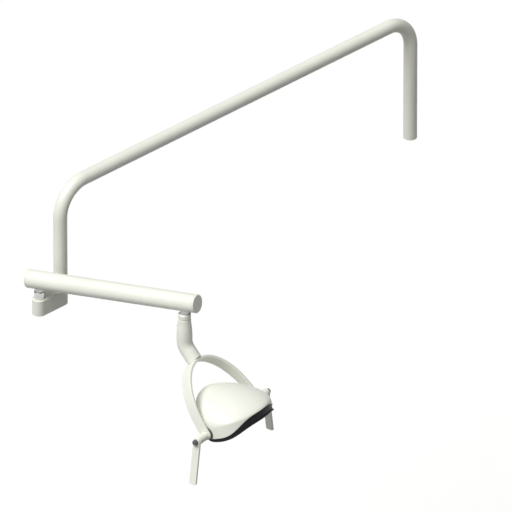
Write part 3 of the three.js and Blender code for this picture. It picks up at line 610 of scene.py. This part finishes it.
def dull(slot, grain, rough, depth):
    """Nylon or unglazed ceramic: matt, with a fine tooth and faint mottling."""
    look = Look(slot)
    color = SLOT_COLORS[slot]
    mottle = look.remap(look.noise(0.008, 5), 0, 1)
    tint = look.blend(mottle, shade(color, 0.95), shade(color, 1.05))
    normal = look.bump(look.noise(grain, 3), depth, 0.6)
    roughness = look.remap(mottle, rough - 0.08, rough + 0.08, 0, 1)
    return look.finish(Base_Color=tint, Roughness=roughness, Normal=normal)


RINGED = 90  # how many times finer a lathe's rings are along the bar than round it
LOOKS = {
    "ivory_paint": coated("ivory_paint", grain=0.0016, rough=0.42, depth=0.00012, worn=0.5),
    "ivory_moulding": coated("ivory_moulding", grain=0.0007, rough=0.34, depth=0.00005, worn=0.35),
    "steel": turned_metal("steel", (1, 1, RINGED)),
    "zinc": plated(),
    "black_moulding": coated("black_moulding", grain=0.0006, rough=0.45, depth=0.00008, worn=0.8, sheen=0.2),
    "grey_moulding": coated("grey_moulding", grain=0.0006, rough=0.5, depth=0.00008, worn=0.8),
    "nylon": dull("nylon", grain=0.0006, rough=0.5, depth=0.00005),
    "mirror": mirror(),
    "clear_shield": clear("clear_shield"),
    "lamp_glass": clear("lamp_glass"),
    "ceramic": dull("ceramic", grain=0.0004, rough=0.75, depth=0.00008),
}
STEEL_ALONG_TILT = turned_metal("steel_tilt", (RINGED, 1, 1), (0, 0, -YOKE_YAW))

# ---------- post and knuckle block ----------


def bent_path(corners):
    """(point, tangent) stations along straight runs in the XZ plane, with a square bend at each corner."""
    points = [Vector((x, 0, z)) for x, z in corners]
    runs = [(b - a).normalized() for a, b in zip(points, points[1:])]
    stations = [(points[0], runs[0])]
    for corner, before, after in zip(points[1:-1], runs, runs[1:]):
        start = corner - before * BEND_RADIUS
        for a in quarter(30):
            place = start + before * BEND_RADIUS * math.sin(a) + after * BEND_RADIUS * (1 - math.cos(a))
            stations.append((place, before * math.cos(a) + after * math.sin(a)))
    stations.append((points[-1], runs[-1]))
    return stations


def post_tube():
    across = Vector((0, 1, 0))
    stations = bent_path([(0, PLUG_FLANGE + GAP), (0, BEAM_HEIGHT), (-POST_SPAN, BEAM_HEIGHT),
                          (-POST_SPAN, BLOCK_TOP + GAP)])

    def rim(station, inwards):
        """Rounds a cut end, from its edge on to the full radius."""
        end, way = station
        return [round_loop(end + way * inwards * TUBE_RIM * (1 - math.cos(a)), way, across,
                           POST_RADIUS - TUBE_RIM * (1 - math.sin(a))) for a in quarter(3)]

    loops = rim(stations[0], 1)
    loops += [round_loop(p, t, across, POST_RADIUS) for p, t in stations[1:-1]]
    loops += rim(stations[-1], -1)[::-1]
    loops += [round_loop(p, t, across, BORE) for p, t in stations[::-1]]
    lock_hole = rod(LOCK_SCREW_HOLE, 0, POST_RADIUS + 5)
    return cut(skin(loops, closed=True),
               placed(lock_hole, moved(-POST_SPAN, 0, LOCK_SCREW_HEIGHT) @ ALONG_X))


def post_plug():
    plug = lathe(rounded([(0, 0), (POST_RADIUS, 0, 0.8), (POST_RADIUS, PLUG_FLANGE, 0.4),
                          (BORE - GAP, PLUG_FLANGE), (BORE - GAP, PLUG_TOP, 1), (0, PLUG_TOP)]))
    return cut(plug, placed(rod(PLUG_VENT, -1, PLUG_TOP + 1), moved(9, 0, 0)))


def knuckle_outline(inset):
    """The knuckle's outline from above, drawn about the post's leg."""
    return obround(-PIVOT_OFFSET, 0, BLOCK_RADIUS - inset)


def knuckle_block():
    """The block with its spigot for the post, hollowed from below, where the cover closes it."""
    at_pivot = moved(-PIVOT_OFFSET, 0, 0)
    below = BLOCK_BOTTOM - 1
    body = slab(knuckle_outline(0), BLOCK_BOTTOM, BLOCK_TOP, 1.6)
    return cut(
        join(body, rod(BORE - GAP, BLOCK_TOP - 1, SPIGOT_TOP, 1, 96)),
        slab(knuckle_outline(COVER_INSET), below, COVER_TOP + GAP, 0.2),
        placed(rod(POCKET_RADIUS, below, POCKET_TOP), at_pivot),
        placed(rod(SHAFT_RADIUS + GAP, POCKET_TOP - 1, BLOCK_TOP + 1), at_pivot),
        rod(SPIGOT_BORE, POCKET_TOP - 1, SPIGOT_TOP + 1),
        rod(POCKET_RADIUS, below, POCKET_TOP),
        placed(rod(LOCK_SCREW_HOLE, 8, BORE + 1), moved(0, 0, LOCK_SCREW_HEIGHT) @ ALONG_X),
    )


def knuckle_cover():
    plate = slab(knuckle_outline(COVER_INSET + GAP), BLOCK_BOTTOM, COVER_TOP, 0.5)
    holes = [placed(rod(COVER_SCREW_HOLE, BLOCK_BOTTOM - 1, COVER_TOP + 1),
                    moved(-PIVOT_OFFSET / 2, s * COVER_SCREW_SIDE, 0)) for s in (-1, 1)]
    return cut(plate, *holes)


def screw(shank, length, head, height, recess):
    """A button-head screw along -Z whose head stands on z = 0, with a hexagonal recess."""
    made = lathe(rounded([(0, -length), (shank, -length, 0.5), (shank, 0), (head, 0, 0.3),
                          (head, height * 0.4, 0.6), (head * 0.72, height, 0.8), (0, height)]), 48)
    corners = [Vector((recess * math.cos(a), recess * math.sin(a))) for a in circle(6)]
    return cut(made, slab(corners, height * 0.35, height + 1, 0.02, 1))


def build_post():
    piece("post_tube", post_tube(), AT_POST)
    piece("post_plug", post_plug(), AT_POST)
    piece("knuckle_block", knuckle_block(), AT_LEG)
    piece("knuckle_cover", knuckle_cover(), AT_LEG)
    for i, s in enumerate((-1, 1)):
        seat = AT_LEG @ moved(-PIVOT_OFFSET / 2, s * COVER_SCREW_SIDE, BLOCK_BOTTOM - GAP)
        cover_screw = screw(shank=1.9, length=10, head=3.6, height=2.2, recess=1.3)
        piece(f"cover_screw_{i + 1}", cover_screw, seat @ turned(math.pi, "X"))
    lock = AT_LEG @ moved(POST_RADIUS + GAP, 0, LOCK_SCREW_HEIGHT) @ ALONG_X
    piece("post_lock_screw", screw(shank=2.9, length=9, head=4.6, height=2.2, recess=1.8), lock)
    washer = ring(WASHER_RADIUS, SHAFT_RADIUS + GAP, BLOCK_TOP + GAP, WASHER_TOP)
    piece("swivel_thrust_washer", washer, AT_PIVOT)


# ---------- arm ----------


def arm_hub(turn):
    """A barrel across a neck. A slot on top, with a relief down one end, leaves room for the level link."""
    past = 20  # outside the hub on every side
    barrel = placed(rod(HUB_RADIUS, -HUB_HALF_WIDTH, HUB_HALF_WIDTH, 0.8, 96), ALONG_Y)
    neck = rod(NECK_RADIUS, -NECK_DEPTH, -4, 0.6, 96)
    return cut(
        join(barrel, neck),
        placed(rod(PIN_RADIUS + GAP, -past, past), ALONG_Y),
        placed(rod(LINK_PIN_RADIUS + GAP, -past, past), moved(0, 0, LINK_OFFSET) @ ALONG_Y),
        block((-past, -LINK_SLOT, LINK_SLOT_FLOOR), (past, LINK_SLOT, past)),
        placed(block((5.2, -LINK_SLOT, -7), (past, LINK_SLOT, past)), turned(turn, "Z")),
        rod(SHAFT_RADIUS + GAP, -NECK_DEPTH - 1, -11),
    )


def arm_tube():
    low, high = CAP_FLANGE - REAR_OVERHANG, ARM_PIVOTS + FRONT_OVERHANG - CAP_FLANGE
    tube = placed(ring(ARM_RADIUS, ARM_BORE, low, high, 0.4, 128), ALONG_X)
    half = SLOT_HALF_LENGTH - SLOT_HALF_WIDTH
    pivots = (0, ARM_PIVOTS)
    slots = [slab(obround(x - half, x + half, SLOT_HALF_WIDTH), -ARM_RADIUS - 2, -6, 0.02, 1) for x in pivots]
    holes = [placed(rod(PIN_RADIUS + 0.1, -30, 30), moved(x, 0, 0) @ ALONG_Y) for x in pivots]
    return cut(tube, *slots, *holes)


def arm_cap():
    """A cap that starts on its outer face and plugs the tube along X."""
    shoulder, end = CAP_FLANGE - GAP, CAP_FLANGE + 2.6
    profile = rounded([(0, 0), (ARM_RADIUS, 0, 2.6), (ARM_RADIUS, shoulder, 0.3), (ARM_BORE - GAP, shoulder),
                       (ARM_BORE - GAP, end, 0.6), (0, end)], 8)
    return placed(lathe(profile, 128), ALONG_X)


def build_arm():
    sleeve = ring(SLEEVE_RADIUS, SHAFT_RADIUS + GAP, WASHER_TOP + GAP, LIFT.z / MM - NECK_DEPTH - GAP, 0.6)
    piece("swivel_sleeve", sleeve, AT_PIVOT)
    piece("rear_hub", arm_hub(0), AT_REAR_HUB)
    piece("front_hub", arm_hub(math.pi), AT_FRONT_HUB)
    piece("arm_tube", arm_tube(), AT_ARM)
    piece("arm_cap_rear", arm_cap(), AT_ARM @ moved(-REAR_OVERHANG, 0, 0))
    front_end = AT_ARM @ moved(ARM_PIVOTS + FRONT_OVERHANG, 0, 0)
    piece("arm_cap_front", arm_cap(), front_end @ turned(math.pi, "Z"))
    reach = ARM_RADIUS - PIN_INSET
    for node, x in (("lift_pin", 0), ("front_pin", ARM_PIVOTS)):
        piece(node, rod(PIN_RADIUS, -reach, reach, 0.5), AT_ARM @ moved(x, 0, 0) @ ALONG_Y)


# ---------- stem and yoke ----------

COLLAR_TOP = HUB_HEIGHT - NECK_DEPTH - GAP
COLLAR_BOTTOM = COLLAR_TOP - COLLAR_HEIGHT


def front_collar():
    """A collar whose chamfered top clears the arm at both ends of its lift."""
    bore, outer = SHAFT_RADIUS + GAP, STEM_TOP_RADIUS
    return lathe(rounded([(bore, COLLAR_BOTTOM), (outer, COLLAR_BOTTOM, 0.5),
                          (outer, COLLAR_TOP - COLLAR_CHAMFER, 0.9),
                          (outer - COLLAR_CHAMFER, COLLAR_TOP, 0.9), (bore, COLLAR_TOP)]))


def arch_height(x, grow):
    """Height of the arch's outline above the tilt axis, grown outwards."""
    return (YOKE_HEIGHT + grow) * math.sqrt(1 - (x / (YOKE_HALF_SPAN + grow)) ** 2)


def stem():
    """An upright neck that bends back on to the yoke's top, where its end follows the arch."""
    across = Vector((1, 0, 0))
    down, heading = Vector((0, 0, -1)), Vector((0, -math.sin(YOKE_LEAN), -math.cos(YOKE_LEAN)))
    bend = STEM_BEND_RADIUS
    apex = Vector((0, REACH, TILT_HEIGHT)) - heading * YOKE_HEIGHT
    straight = (-apex.y - bend * (1 - math.cos(YOKE_LEAN))) / math.sin(YOKE_LEAN)
    bend_top = apex.z + bend * math.sin(YOKE_LEAN) + straight * math.cos(YOKE_LEAN)
    # The neck's outline as (radius, height, rounding), from a point on the axis down to the bend.
    neck = rounded([(0.01, STEM_TOP), (STEM_TOP_RADIUS, STEM_TOP, 1.5), (18.4, 126, 30), (20.6, 108, 30),
                    (STEM_RADIUS, 92, 30), (STEM_RADIUS, bend_top + 1)], 6)
    loops = [round_loop(Vector((0, 0, z)), down, across, r) for r, z in neck]
    for k in range(17):
        a = YOKE_LEAN * k / 16
        place = Vector((0, -bend * (1 - math.cos(a)), bend_top - bend * math.sin(a)))
        loops.append(round_loop(place, Vector((0, -math.sin(a), -math.cos(a))), across, STEM_RADIUS))
    rim = 1.2
    seat = YOKE_THICKNESS / 2 + GAP
    for a in quarter(4):
        flat = round_loop(apex, heading, across, STEM_RADIUS - rim * (1 - math.cos(a)))
        lift = [YOKE_HEIGHT - arch_height(p.x, seat) - rim * (1 - math.sin(a)) for p in flat]
        loops.append([p + heading * h for p, h in zip(flat, lift)])
    spindle = rod(SHAFT_RADIUS + GAP, SPINDLE_BOTTOM, STEM_TOP + 1)
    lock = placed(rod(STEM_SCREW_HOLE, 0, 30), moved(0, 0, STEM_SCREW_HEIGHT) @ ALONG_Y)
    bail = moved(0, REACH, TILT_HEIGHT) @ turned(-YOKE_LEAN, "X")
    holes = [placed(rod(YOKE_BOLT_HOLE, YOKE_HEIGHT - 10, YOKE_HEIGHT + 24),
                    bail @ moved(s * YOKE_BOLT_SIDE, 0, 0)) for s in (-1, 1)]
    return cut(skin(loops), spindle, lock, *holes)


def arch_table():
    """(length, point, outward direction) along the arch's centre line, from the left tip to the right."""
    steps = 600
    rows, length, last = [], 0.0, None
    for k in range(steps + 1):
        a = math.pi * (1 - k / steps)
        point = Vector((YOKE_HALF_SPAN * math.cos(a), YOKE_HEIGHT * math.sin(a)))
        out = Vector((math.cos(a) / YOKE_HALF_SPAN, math.sin(a) / YOKE_HEIGHT)).normalized()
        length += (point - last).length if last else 0
        last = point
        rows.append((length, point, out))
    return rows


def on_arch(rows, s):
    """The centre-line point and outward direction at a length, straight down past either tip."""
    total = rows[-1][0]
    if s <= 0:
        return rows[0][1] + Vector((0, s)), rows[0][2]
    if s >= total:
        return rows[-1][1] + Vector((0, total - s)), rows[-1][2]
    i = next(i for i, row in enumerate(rows) if row[0] >= s)
    (s0, p0, n0), (s1, p1, n1) = rows[i - 1], rows[i]
    share = (s - s0) / (s1 - s0)
    return p0.lerp(p1, share), n0.lerp(n1, share).normalized()


def yoke():
    """The strap as a flat plate with round ends, cut across so that it can bend, then bent to the arch."""
    rows = arch_table()
    total = rows[-1][0]
    tip, top = YOKE_TIP_WIDTH / 2, YOKE_TOP_WIDTH / 2
    side = []
    for k in range(81):
        s = total * k / 80
        height = on_arch(rows, s)[0].y
        side.append(Vector((s, tip + (top - tip) * min(1, height / YOKE_TAPER_HEIGHT))))
    ends = [math.pi / 2 * k / 10 for k in range(1, 20)]
    outline = [*side, *(Vector((total + tip * math.sin(a), tip * math.cos(a))) for a in ends),
               *(Vector((p.x, -p.y)) for p in reversed(side)),
               *(Vector((-tip * math.sin(a), -tip * math.cos(a))) for a in ends)]

    def on_strap(s, across, out):
        centre, normal = on_arch(rows, s)
        return centre.x + out * normal.x, -across, centre.y + out * normal.y

    steps = 130
    cuts = [-tip + (total + 2 * tip) * (k + 0.5) / steps for k in range(steps)]
    plate = slab(outline, -YOKE_THICKNESS / 2, YOKE_THICKNESS / 2, 2)
    holes = [placed(rod(radius, YOKE_HEIGHT - 30, end), moved(s * YOKE_BOLT_SIDE, 0, 0)) for s in (-1, 1)
             for radius, end in ((YOKE_BOLT_HOLE, YOKE_HEIGHT + 20), (YOKE_BOLT_RECESS, YOKE_BOLT_SEAT))]
    return cut(bent(plate, Vector((1, 0, 0)), cuts, on_strap),
               placed(rod(TILT_HOLE, -ACROSS_HEAD, ACROSS_HEAD), ALONG_X), *holes)


def build_yoke():
    piece("front_collar", front_collar(), AT_FRONT)
    washer = ring(STEM_WASHER_RADIUS, SHAFT_RADIUS + GAP, STEM_TOP + GAP, COLLAR_BOTTOM - GAP)
    piece("stem_thrust_washer", washer, AT_FRONT)
    piece("stem", stem(), AT_STEM)
    lock = AT_STEM @ moved(0, STEM_RADIUS - 0.2, STEM_SCREW_HEIGHT) @ ALONG_Y
    piece("stem_lock_screw", screw(shank=2.5, length=14.5, head=4, height=2, recess=1.6), lock)
    piece("yoke", yoke(), AT_BAIL)
    for i, s in enumerate((-1, 1)):
        seat = AT_BAIL @ moved(s * YOKE_BOLT_SIDE, 0, YOKE_BOLT_SEAT - GAP)
        yoke_bolt = screw(shank=2.9, length=20, head=5.2, height=2.8, recess=2.2)
        piece(f"yoke_bolt_{i + 1}", yoke_bolt, seat @ turned(math.pi, "X"))
    for side, facing in SIDES.items():
        for name, x in (("inner", YOKE_INNER - FRICTION_SEAT), ("outer", YOKE_OUTER + GAP)):
            washer = placed(ring(FRICTION_RADIUS, TILT_HOLE, x, x + FRICTION_THICKNESS, 0.25), ALONG_X)
            piece(f"friction_washer_{name}_{side}", placed(washer, facing), AT_BAIL)


# ---------- head ----------

BEARINGS = circle(160)


def dome_point(inset, angle, level):
    """The head's outer form shrunk by an inset.

    Level runs from 0 at the crown to 1 where the skirt starts, and on down the skirt.
    """
    long, wide = HEAD_HALF_LENGTH - inset, HEAD_HALF_WIDTH - inset
    if level < 1:
        a = math.pi / 2 * level
        out, up = math.sin(a) ** DOME_POWER, math.cos(a) ** DOME_POWER
        height = DOME_FOOT + (DOME_HEIGHT - inset - DOME_FOOT) * up
    else:
        out, up = 1, 0
        height = DOME_FOOT - (level - 1) * SKIRT_DROP
    back = DOME_SHIFT * up * up * (1 + DOME_EASE) / (up + DOME_EASE)
    return Vector((long * out * math.cos(angle), wide * out * math.sin(angle) + back, height))


def level_at(inset, angle, stop):
    """The level at which the form first passes below a surface, by halving."""
    low, high = 0.0, 2.0
    for _ in range(40):
        middle = (low + high) / 2
        point = dome_point(inset, angle, middle)
        if point.z > stop(point):
            low = middle
        else:
            high = middle
    return low


def saddle(x, y, mean, wave):
    """Height of a waved edge about its mean depth: low at the head's ends, high at its long sides."""
    v = max(-1, min(1, (x / HEAD_HALF_LENGTH) ** 2 - (y / HEAD_HALF_WIDTH) ** 2))
    return -mean - wave * v * (3 - v * v) / 2


def shell_edge(point):
    return saddle(point.x, point.y, RIM_MEAN, RIM_WAVE)


def front_edge(x, y):
    return saddle(x, y, BEZEL_DEPTH, BEZEL_WAVE)


def meridians(inset, levels, shares):
    """Loops round the head's form, each at a share of the way between two levels at every bearing."""
    return [[dome_point(inset, a, top + (low - top) * share) for a, (top, low) in zip(BEARINGS, levels)]
            for share in shares]


def from_crown(steps):
    """Equal shares down from a small flat face that closes the crown."""
    crown = 0.004
    return [crown + (1 - crown) * k / steps for k in range(steps + 1)]


def cut_shafts(made):
    """Cuts the tilt shafts' holes from a piece drawn about the dish's middle."""
    shafts = rod(TILT_HOLE, -ACROSS_HEAD, ACROSS_HEAD)
    return cut(made, placed(shafts, moved(0, HEAD_FORWARD, 0) @ ALONG_X))


def rear_shell():
    """The shell as two skins that meet round a rolled lower edge."""
    shares = from_crown(52)
    rim = SHELL_WALL / 2

    def levels(inset, drop=0):
        return [(0, level_at(inset, a, lambda p: shell_edge(p) + rim - drop)) for a in BEARINGS]

    loops = meridians(SHELL_WALL, levels(SHELL_WALL), shares)
    for k in range(1, 8):
        a = math.pi * k / 8
        inset = rim + rim * math.cos(a)
        loops += meridians(inset, levels(inset, rim * math.sin(a)), [1])
    loops += meridians(0, levels(0), shares[::-1])
    return cut_shafts(skin(loops))


def reflector_housing():
    """The dark wall inside the shell, down to the bezel."""
    def foot(point):
        return front_edge(point.x, point.y) + BEZEL_HEIGHT + GAP

    def levels(inset):
        return [(level_at(inset, a, lambda p: HOUSING_TOP), level_at(inset, a, foot)) for a in BEARINGS]

    shares = [k / 24 for k in range(25)]
    inner = HOUSING_INSET + HOUSING_WALL
    loops = meridians(HOUSING_INSET, levels(HOUSING_INSET), shares)
    loops += meridians(inner, levels(inner), shares[::-1])
    return cut_shafts(skin(loops, closed=True))


def bezel():
    """The front ring, which rises and falls with the head's front edge."""
    section = rounded([(0, 0, 1.5), (BEZEL_WIDTH, 0, 0.6), (BEZEL_WIDTH, BEZEL_HEIGHT, 0.3),
                       (0, BEZEL_HEIGHT, 0.4)])
    long, wide = HEAD_HALF_LENGTH - BEZEL_INSET, HEAD_HALF_WIDTH - BEZEL_INSET
    loops = []
    for depth, height in section:
        edge = [Vector(((long - depth) * math.cos(a), (wide - depth) * math.sin(a))) for a in BEARINGS]
        loops.append([(p.x, p.y, front_edge(p.x, p.y) + height) for p in edge])
    return skin(loops, closed=True)


def front_shield():
    """The clear sheet, bent to the same saddle as the bezel that it lies on."""
    low = BEZEL_HEIGHT + GAP
    high = low + SHIELD_SHEET
    radii = [*(k / 14 for k in range(14)), 0.985]
    made = lathe([*((r, low) for r in radii), (1, low + SHIELD_RIM), (1, high - SHIELD_RIM),
                  *((r, high) for r in reversed(radii))], 120)
    for vertex in made.data.vertices:
        x = vertex.co.x * (HEAD_HALF_LENGTH - SHIELD_INSET)
        y = vertex.co.y * (HEAD_HALF_WIDTH - SHIELD_INSET)
        vertex.co = (x, y, vertex.co.z + front_edge(x, y))
    return made


def reflector():
    """The dish, pressed into flat facets in rings round the lamp's hole."""
    rings, facets = 9, 40
    radii = [*(LAMP_HOLE + (1 - LAMP_HOLE) * k / rings for k in range(rings + 1)), REFLECTOR_FLANGE]
    made = lathe([*((r, 0) for r in radii), *((r, REFLECTOR_SHEET) for r in reversed(radii))], facets)
    for vertex in made.data.vertices:
        x, y, z = vertex.co
        drop = REFLECTOR_END_DROP * x * x + REFLECTOR_SIDE_DROP * y * y
        vertex.co = (REFLECTOR_HALF_LENGTH * x, REFLECTOR_HALF_WIDTH * y, REFLECTOR_TOP - drop + z)
    return made


# The next three profiles are (radius, height) or (radius, height, rounding) from the dish's middle.


def glare_shield():
    """A cup before the lamp, hung from the frame by two legs."""
    cup = lathe(rounded([(0, -5.6), (12, -5.6, 1), (14, -3, 1.5), (14, 6, 0.4), (12.6, 6, 0.4),
                         (12.6, -2.4, 1), (11.4, -4, 0.5), (0, -4)]))
    legs = [block((s * 13.3 - 0.9, -1.5, 5), (s * 13.3 + 0.9, 1.5, FRAME_TOP - GAP)) for s in (-1, 1)]
    return join(cup, *legs)


def lamp_socket():
    """A ceramic body under the frame, with a stub up through it and a bore for the lamp's base."""
    seat = FRAME_TOP - GAP
    body = lathe(rounded([(0, 24.6), (9, 24.6, 0.5), (9.4, 25.4, 0.3), (9.4, 52, 0.8), (7.5, seat, 0.8),
                          (3.6, seat, 0.3), (3.6, seat + 7.4, 0.5), (0, seat + 7.4)]))
    return cut(body, rod(4, 20, 32))


def halogen_lamp():
    """A single-ended capsule, from its tip up to its base."""
    return lathe(rounded([(0, 1.4), (2.4, 2, 1), (5.6, 6, 3), (5.6, 20, 2), (4.2, 23.6, 1), (3.6, 24),
                          (3.6, 31, 0.4), (0, 31)]), 64)


def tilt_boss():
    """A round boss whose inner end follows the shell's side."""
    profile = [(0, BOSS_INNER), (BOSS_RADIUS, BOSS_INNER), (BOSS_RADIUS, BOSS_OUTER, 2.4), (0, BOSS_OUTER)]
    form = skin(meridians(-BOSS_CLEARANCE, [(0, 2)] * len(BEARINGS), from_crown(40)))
    return cut(placed(lathe(rounded(profile, 8)), ALONG_X), placed(form, moved(0, -HEAD_FORWARD, 0)),
               placed(rod(TILT_HOLE, 90, 130), ALONG_X))


def grip_offset(height):
    """How far the grip has splayed outwards at a height below its hub."""
    knee = -HANDLE_HUB_RADIUS
    return HANDLE_SPLAY * max(0, min(1, (knee - height) / (HANDLE_LENGTH + knee)))


def handle():
    """A hub on the tilt shaft and a flat grip that hangs from its outer end."""
    half, foot = HANDLE_WIDTH / 2, -HANDLE_LENGTH
    inner = HANDLE_OUTER - HANDLE_THICKNESS
    over = [math.pi * k / 24 for k in range(25)]
    outline = [Vector((half * math.cos(a), half * math.sin(a))) for a in over]
    outline += rounded([(-half, 0), (-half, foot, 4), (half, foot, 4), (half, 0)], 8)[1:-1]

    def on_grip(across, height, out):
        return inner + out + grip_offset(height), across, height

    first, spacing = 8 - HANDLE_HUB_RADIUS, 2.6
    cuts = [first - k * spacing for k in range(44)]
    plate = slab(outline, 0, HANDLE_THICKNESS, 1.5, 5)
    grip = bent(plate, Vector((0, 1, 0)), cuts, on_grip)
    hub = placed(rod(HANDLE_HUB_RADIUS, HANDLE_INNER, inner + 1, 0.8, 96), ALONG_X)
    return cut(join(grip, hub), placed(rod(TILT_HOLE, 100, KNOB_START + 10), ALONG_X))


def knob():
    """A friction knob with six finger flutes and a crowned end."""
    def wave(a):
        return 1 - 0.1 * max(0, math.cos(6 * a)) ** 2.5

    r, end = KNOB_RADIUS, KNOB_LENGTH
    profile = rounded([(0, 0), (r, 0, 0.8), (r, end - 1.2, 2.2), (r * 0.45, end, 2), (0, end)], 8)
    return placed(cut(lathe(profile, 144, wave), rod(TILT_HOLE, -1, KNOB_BORE_DEPTH)), ALONG_X)


def build_head():
    smooth = {"flats": False, "crisp": 50}
    piece("rear_shell", rear_shell(), AT_DISH, **smooth)
    piece("reflector_housing", reflector_housing(), AT_DISH, **smooth)
    piece("bezel", bezel(), AT_DISH)
    piece("front_shield", front_shield(), AT_DISH, **smooth)
    piece("reflector", reflector(), AT_DISH, crisp=1, flats=False)
    piece("lamp_socket", lamp_socket(), AT_DISH)
    piece("halogen_lamp", halogen_lamp(), AT_DISH)
    piece("glare_shield", glare_shield(), AT_DISH)
    shaft_end = KNOB_START + KNOB_BORE_DEPTH - 0.5
    for (side, facing), turn in zip(SIDES.items(), (math.pi, 0)):
        piece(f"tilt_boss_{side}", placed(tilt_boss(), facing), AT_HEAD)
        shaft = placed(rod(TILT_SHAFT_RADIUS, FRAME_EAR - 2, shaft_end, 0.6), ALONG_X)
        piece(f"tilt_shaft_{side}", placed(shaft, facing), AT_HEAD, STEEL_ALONG_TILT)
        piece(f"handle_{side}", placed(handle(), facing), AT_HEAD @ turned(HEAD_LEAN, "X"))
        piece(f"tension_knob_{side}", knob(), AT_HEAD @ turned(turn, "Z") @ moved(KNOB_START, 0, 0))


# ---------- floor, light and camera, in metres ----------

FLOOR_DEPTH = 1.6
FLOOR_SIZE = 120
SENSOR = 36  # millimetres, as the lens is
LENS = 1700
VIEW_SPAN = 1.3917
VIEW_AZIMUTH = math.radians(-45)
VIEW_ELEVATION = math.radians(30)
VIEW_TARGET = Vector((-0.4104, 0.1819, -0.2798))
KEY_FROM = Vector((-0.535, 0.0, 0.845))
KEY_STRENGTH = 3.16
KEY_ANGLE = math.radians(35)
FILL_COLOR = (1, 1, 0.985, 1)
FILL_LEFT = 0.29  # the world's strength at the camera's left and right
FILL_RIGHT = 0.18
CAMERA_RIGHT = Vector((math.cos(VIEW_AZIMUTH), math.sin(VIEW_AZIMUTH), 0))


def build_floor():
    """A pale floor far below, which throws no soft light back on the part."""
    half = FLOOR_SIZE / 2
    mesh = bpy.data.meshes.new("floor")
    corners = [(-half, -half), (half, -half), (half, half), (-half, half)]
    mesh.from_pydata([(x, y, -FLOOR_DEPTH) for x, y in corners], [], [(0, 1, 2, 3)])
    floor = bpy.data.objects.new("floor", mesh)
    bpy.context.scene.collection.objects.link(floor)
    look = Look("floor")
    pale = look.blend(look.noise(0.8, 3), (0.93, 0.93, 0.925, 1), (0.96, 0.96, 0.955, 1))
    mesh.materials.append(look.finish(Base_Color=pale, Roughness=0.9))
    floor.visible_diffuse = False


def build_light():
    """A wide sun, and a world that is brighter at the camera's left."""
    scene = bpy.context.scene
    scene.view_settings.view_transform = "Standard"
    world = bpy.data.worlds.new("studio")
    world.use_nodes = True
    tree = world.node_tree
    background = tree.nodes["Background"]
    background.inputs["Color"].default_value = FILL_COLOR
    where = tree.nodes.new("ShaderNodeTexCoord")
    across = tree.nodes.new("ShaderNodeVectorMath")
    across.operation = "DOT_PRODUCT"
    across.inputs[1].default_value = CAMERA_RIGHT
    fill = tree.nodes.new("ShaderNodeMapRange")
    for name, value in (("From Min", -1), ("From Max", 1), ("To Min", FILL_LEFT), ("To Max", FILL_RIGHT)):
        fill.inputs[name].default_value = value
    tree.links.new(where.outputs["Generated"], across.inputs[0])
    tree.links.new(across.outputs["Value"], fill.inputs["Value"])
    tree.links.new(fill.outputs["Result"], background.inputs["Strength"])
    scene.world = world
    sun = bpy.data.lights.new("key", "SUN")
    sun.energy = KEY_STRENGTH
    sun.angle = KEY_ANGLE
    key = bpy.data.objects.new("key", sun)
    key.rotation_mode = "QUATERNION"
    key.rotation_quaternion = KEY_FROM.to_track_quat("Z", "Y")
    scene.collection.objects.link(key)


def build_camera():
    """A long lens, aimed so that the view spans the picture's width."""
    camera = bpy.data.cameras.new("camera")
    camera.lens = LENS
    camera.sensor_width = SENSOR
    back = Vector((math.sin(VIEW_AZIMUTH) * math.cos(VIEW_ELEVATION),
                   -math.cos(VIEW_AZIMUTH) * math.cos(VIEW_ELEVATION), math.sin(VIEW_ELEVATION)))
    distance = VIEW_SPAN * LENS / SENSOR
    holder = bpy.data.objects.new("camera", camera)
    holder.location = VIEW_TARGET + back * distance
    holder.rotation_mode = "QUATERNION"
    holder.rotation_quaternion = back.to_track_quat("Z", "Y")
    camera.clip_start, camera.clip_end = distance * 0.5, distance * 4
    bpy.context.scene.collection.objects.link(holder)
    bpy.context.scene.camera = holder


build_post()
build_arm()
build_yoke()
build_head()
# Nodes that no drawing stands for are shown as they are, in their slots' materials.
for node in frame["nodes"].values():
    if not node.hide_render:
        node.data.materials.clear()
        node.data.materials.append(LOOKS[SLOT_OF[node.name]])
build_floor()
build_light()
build_camera()
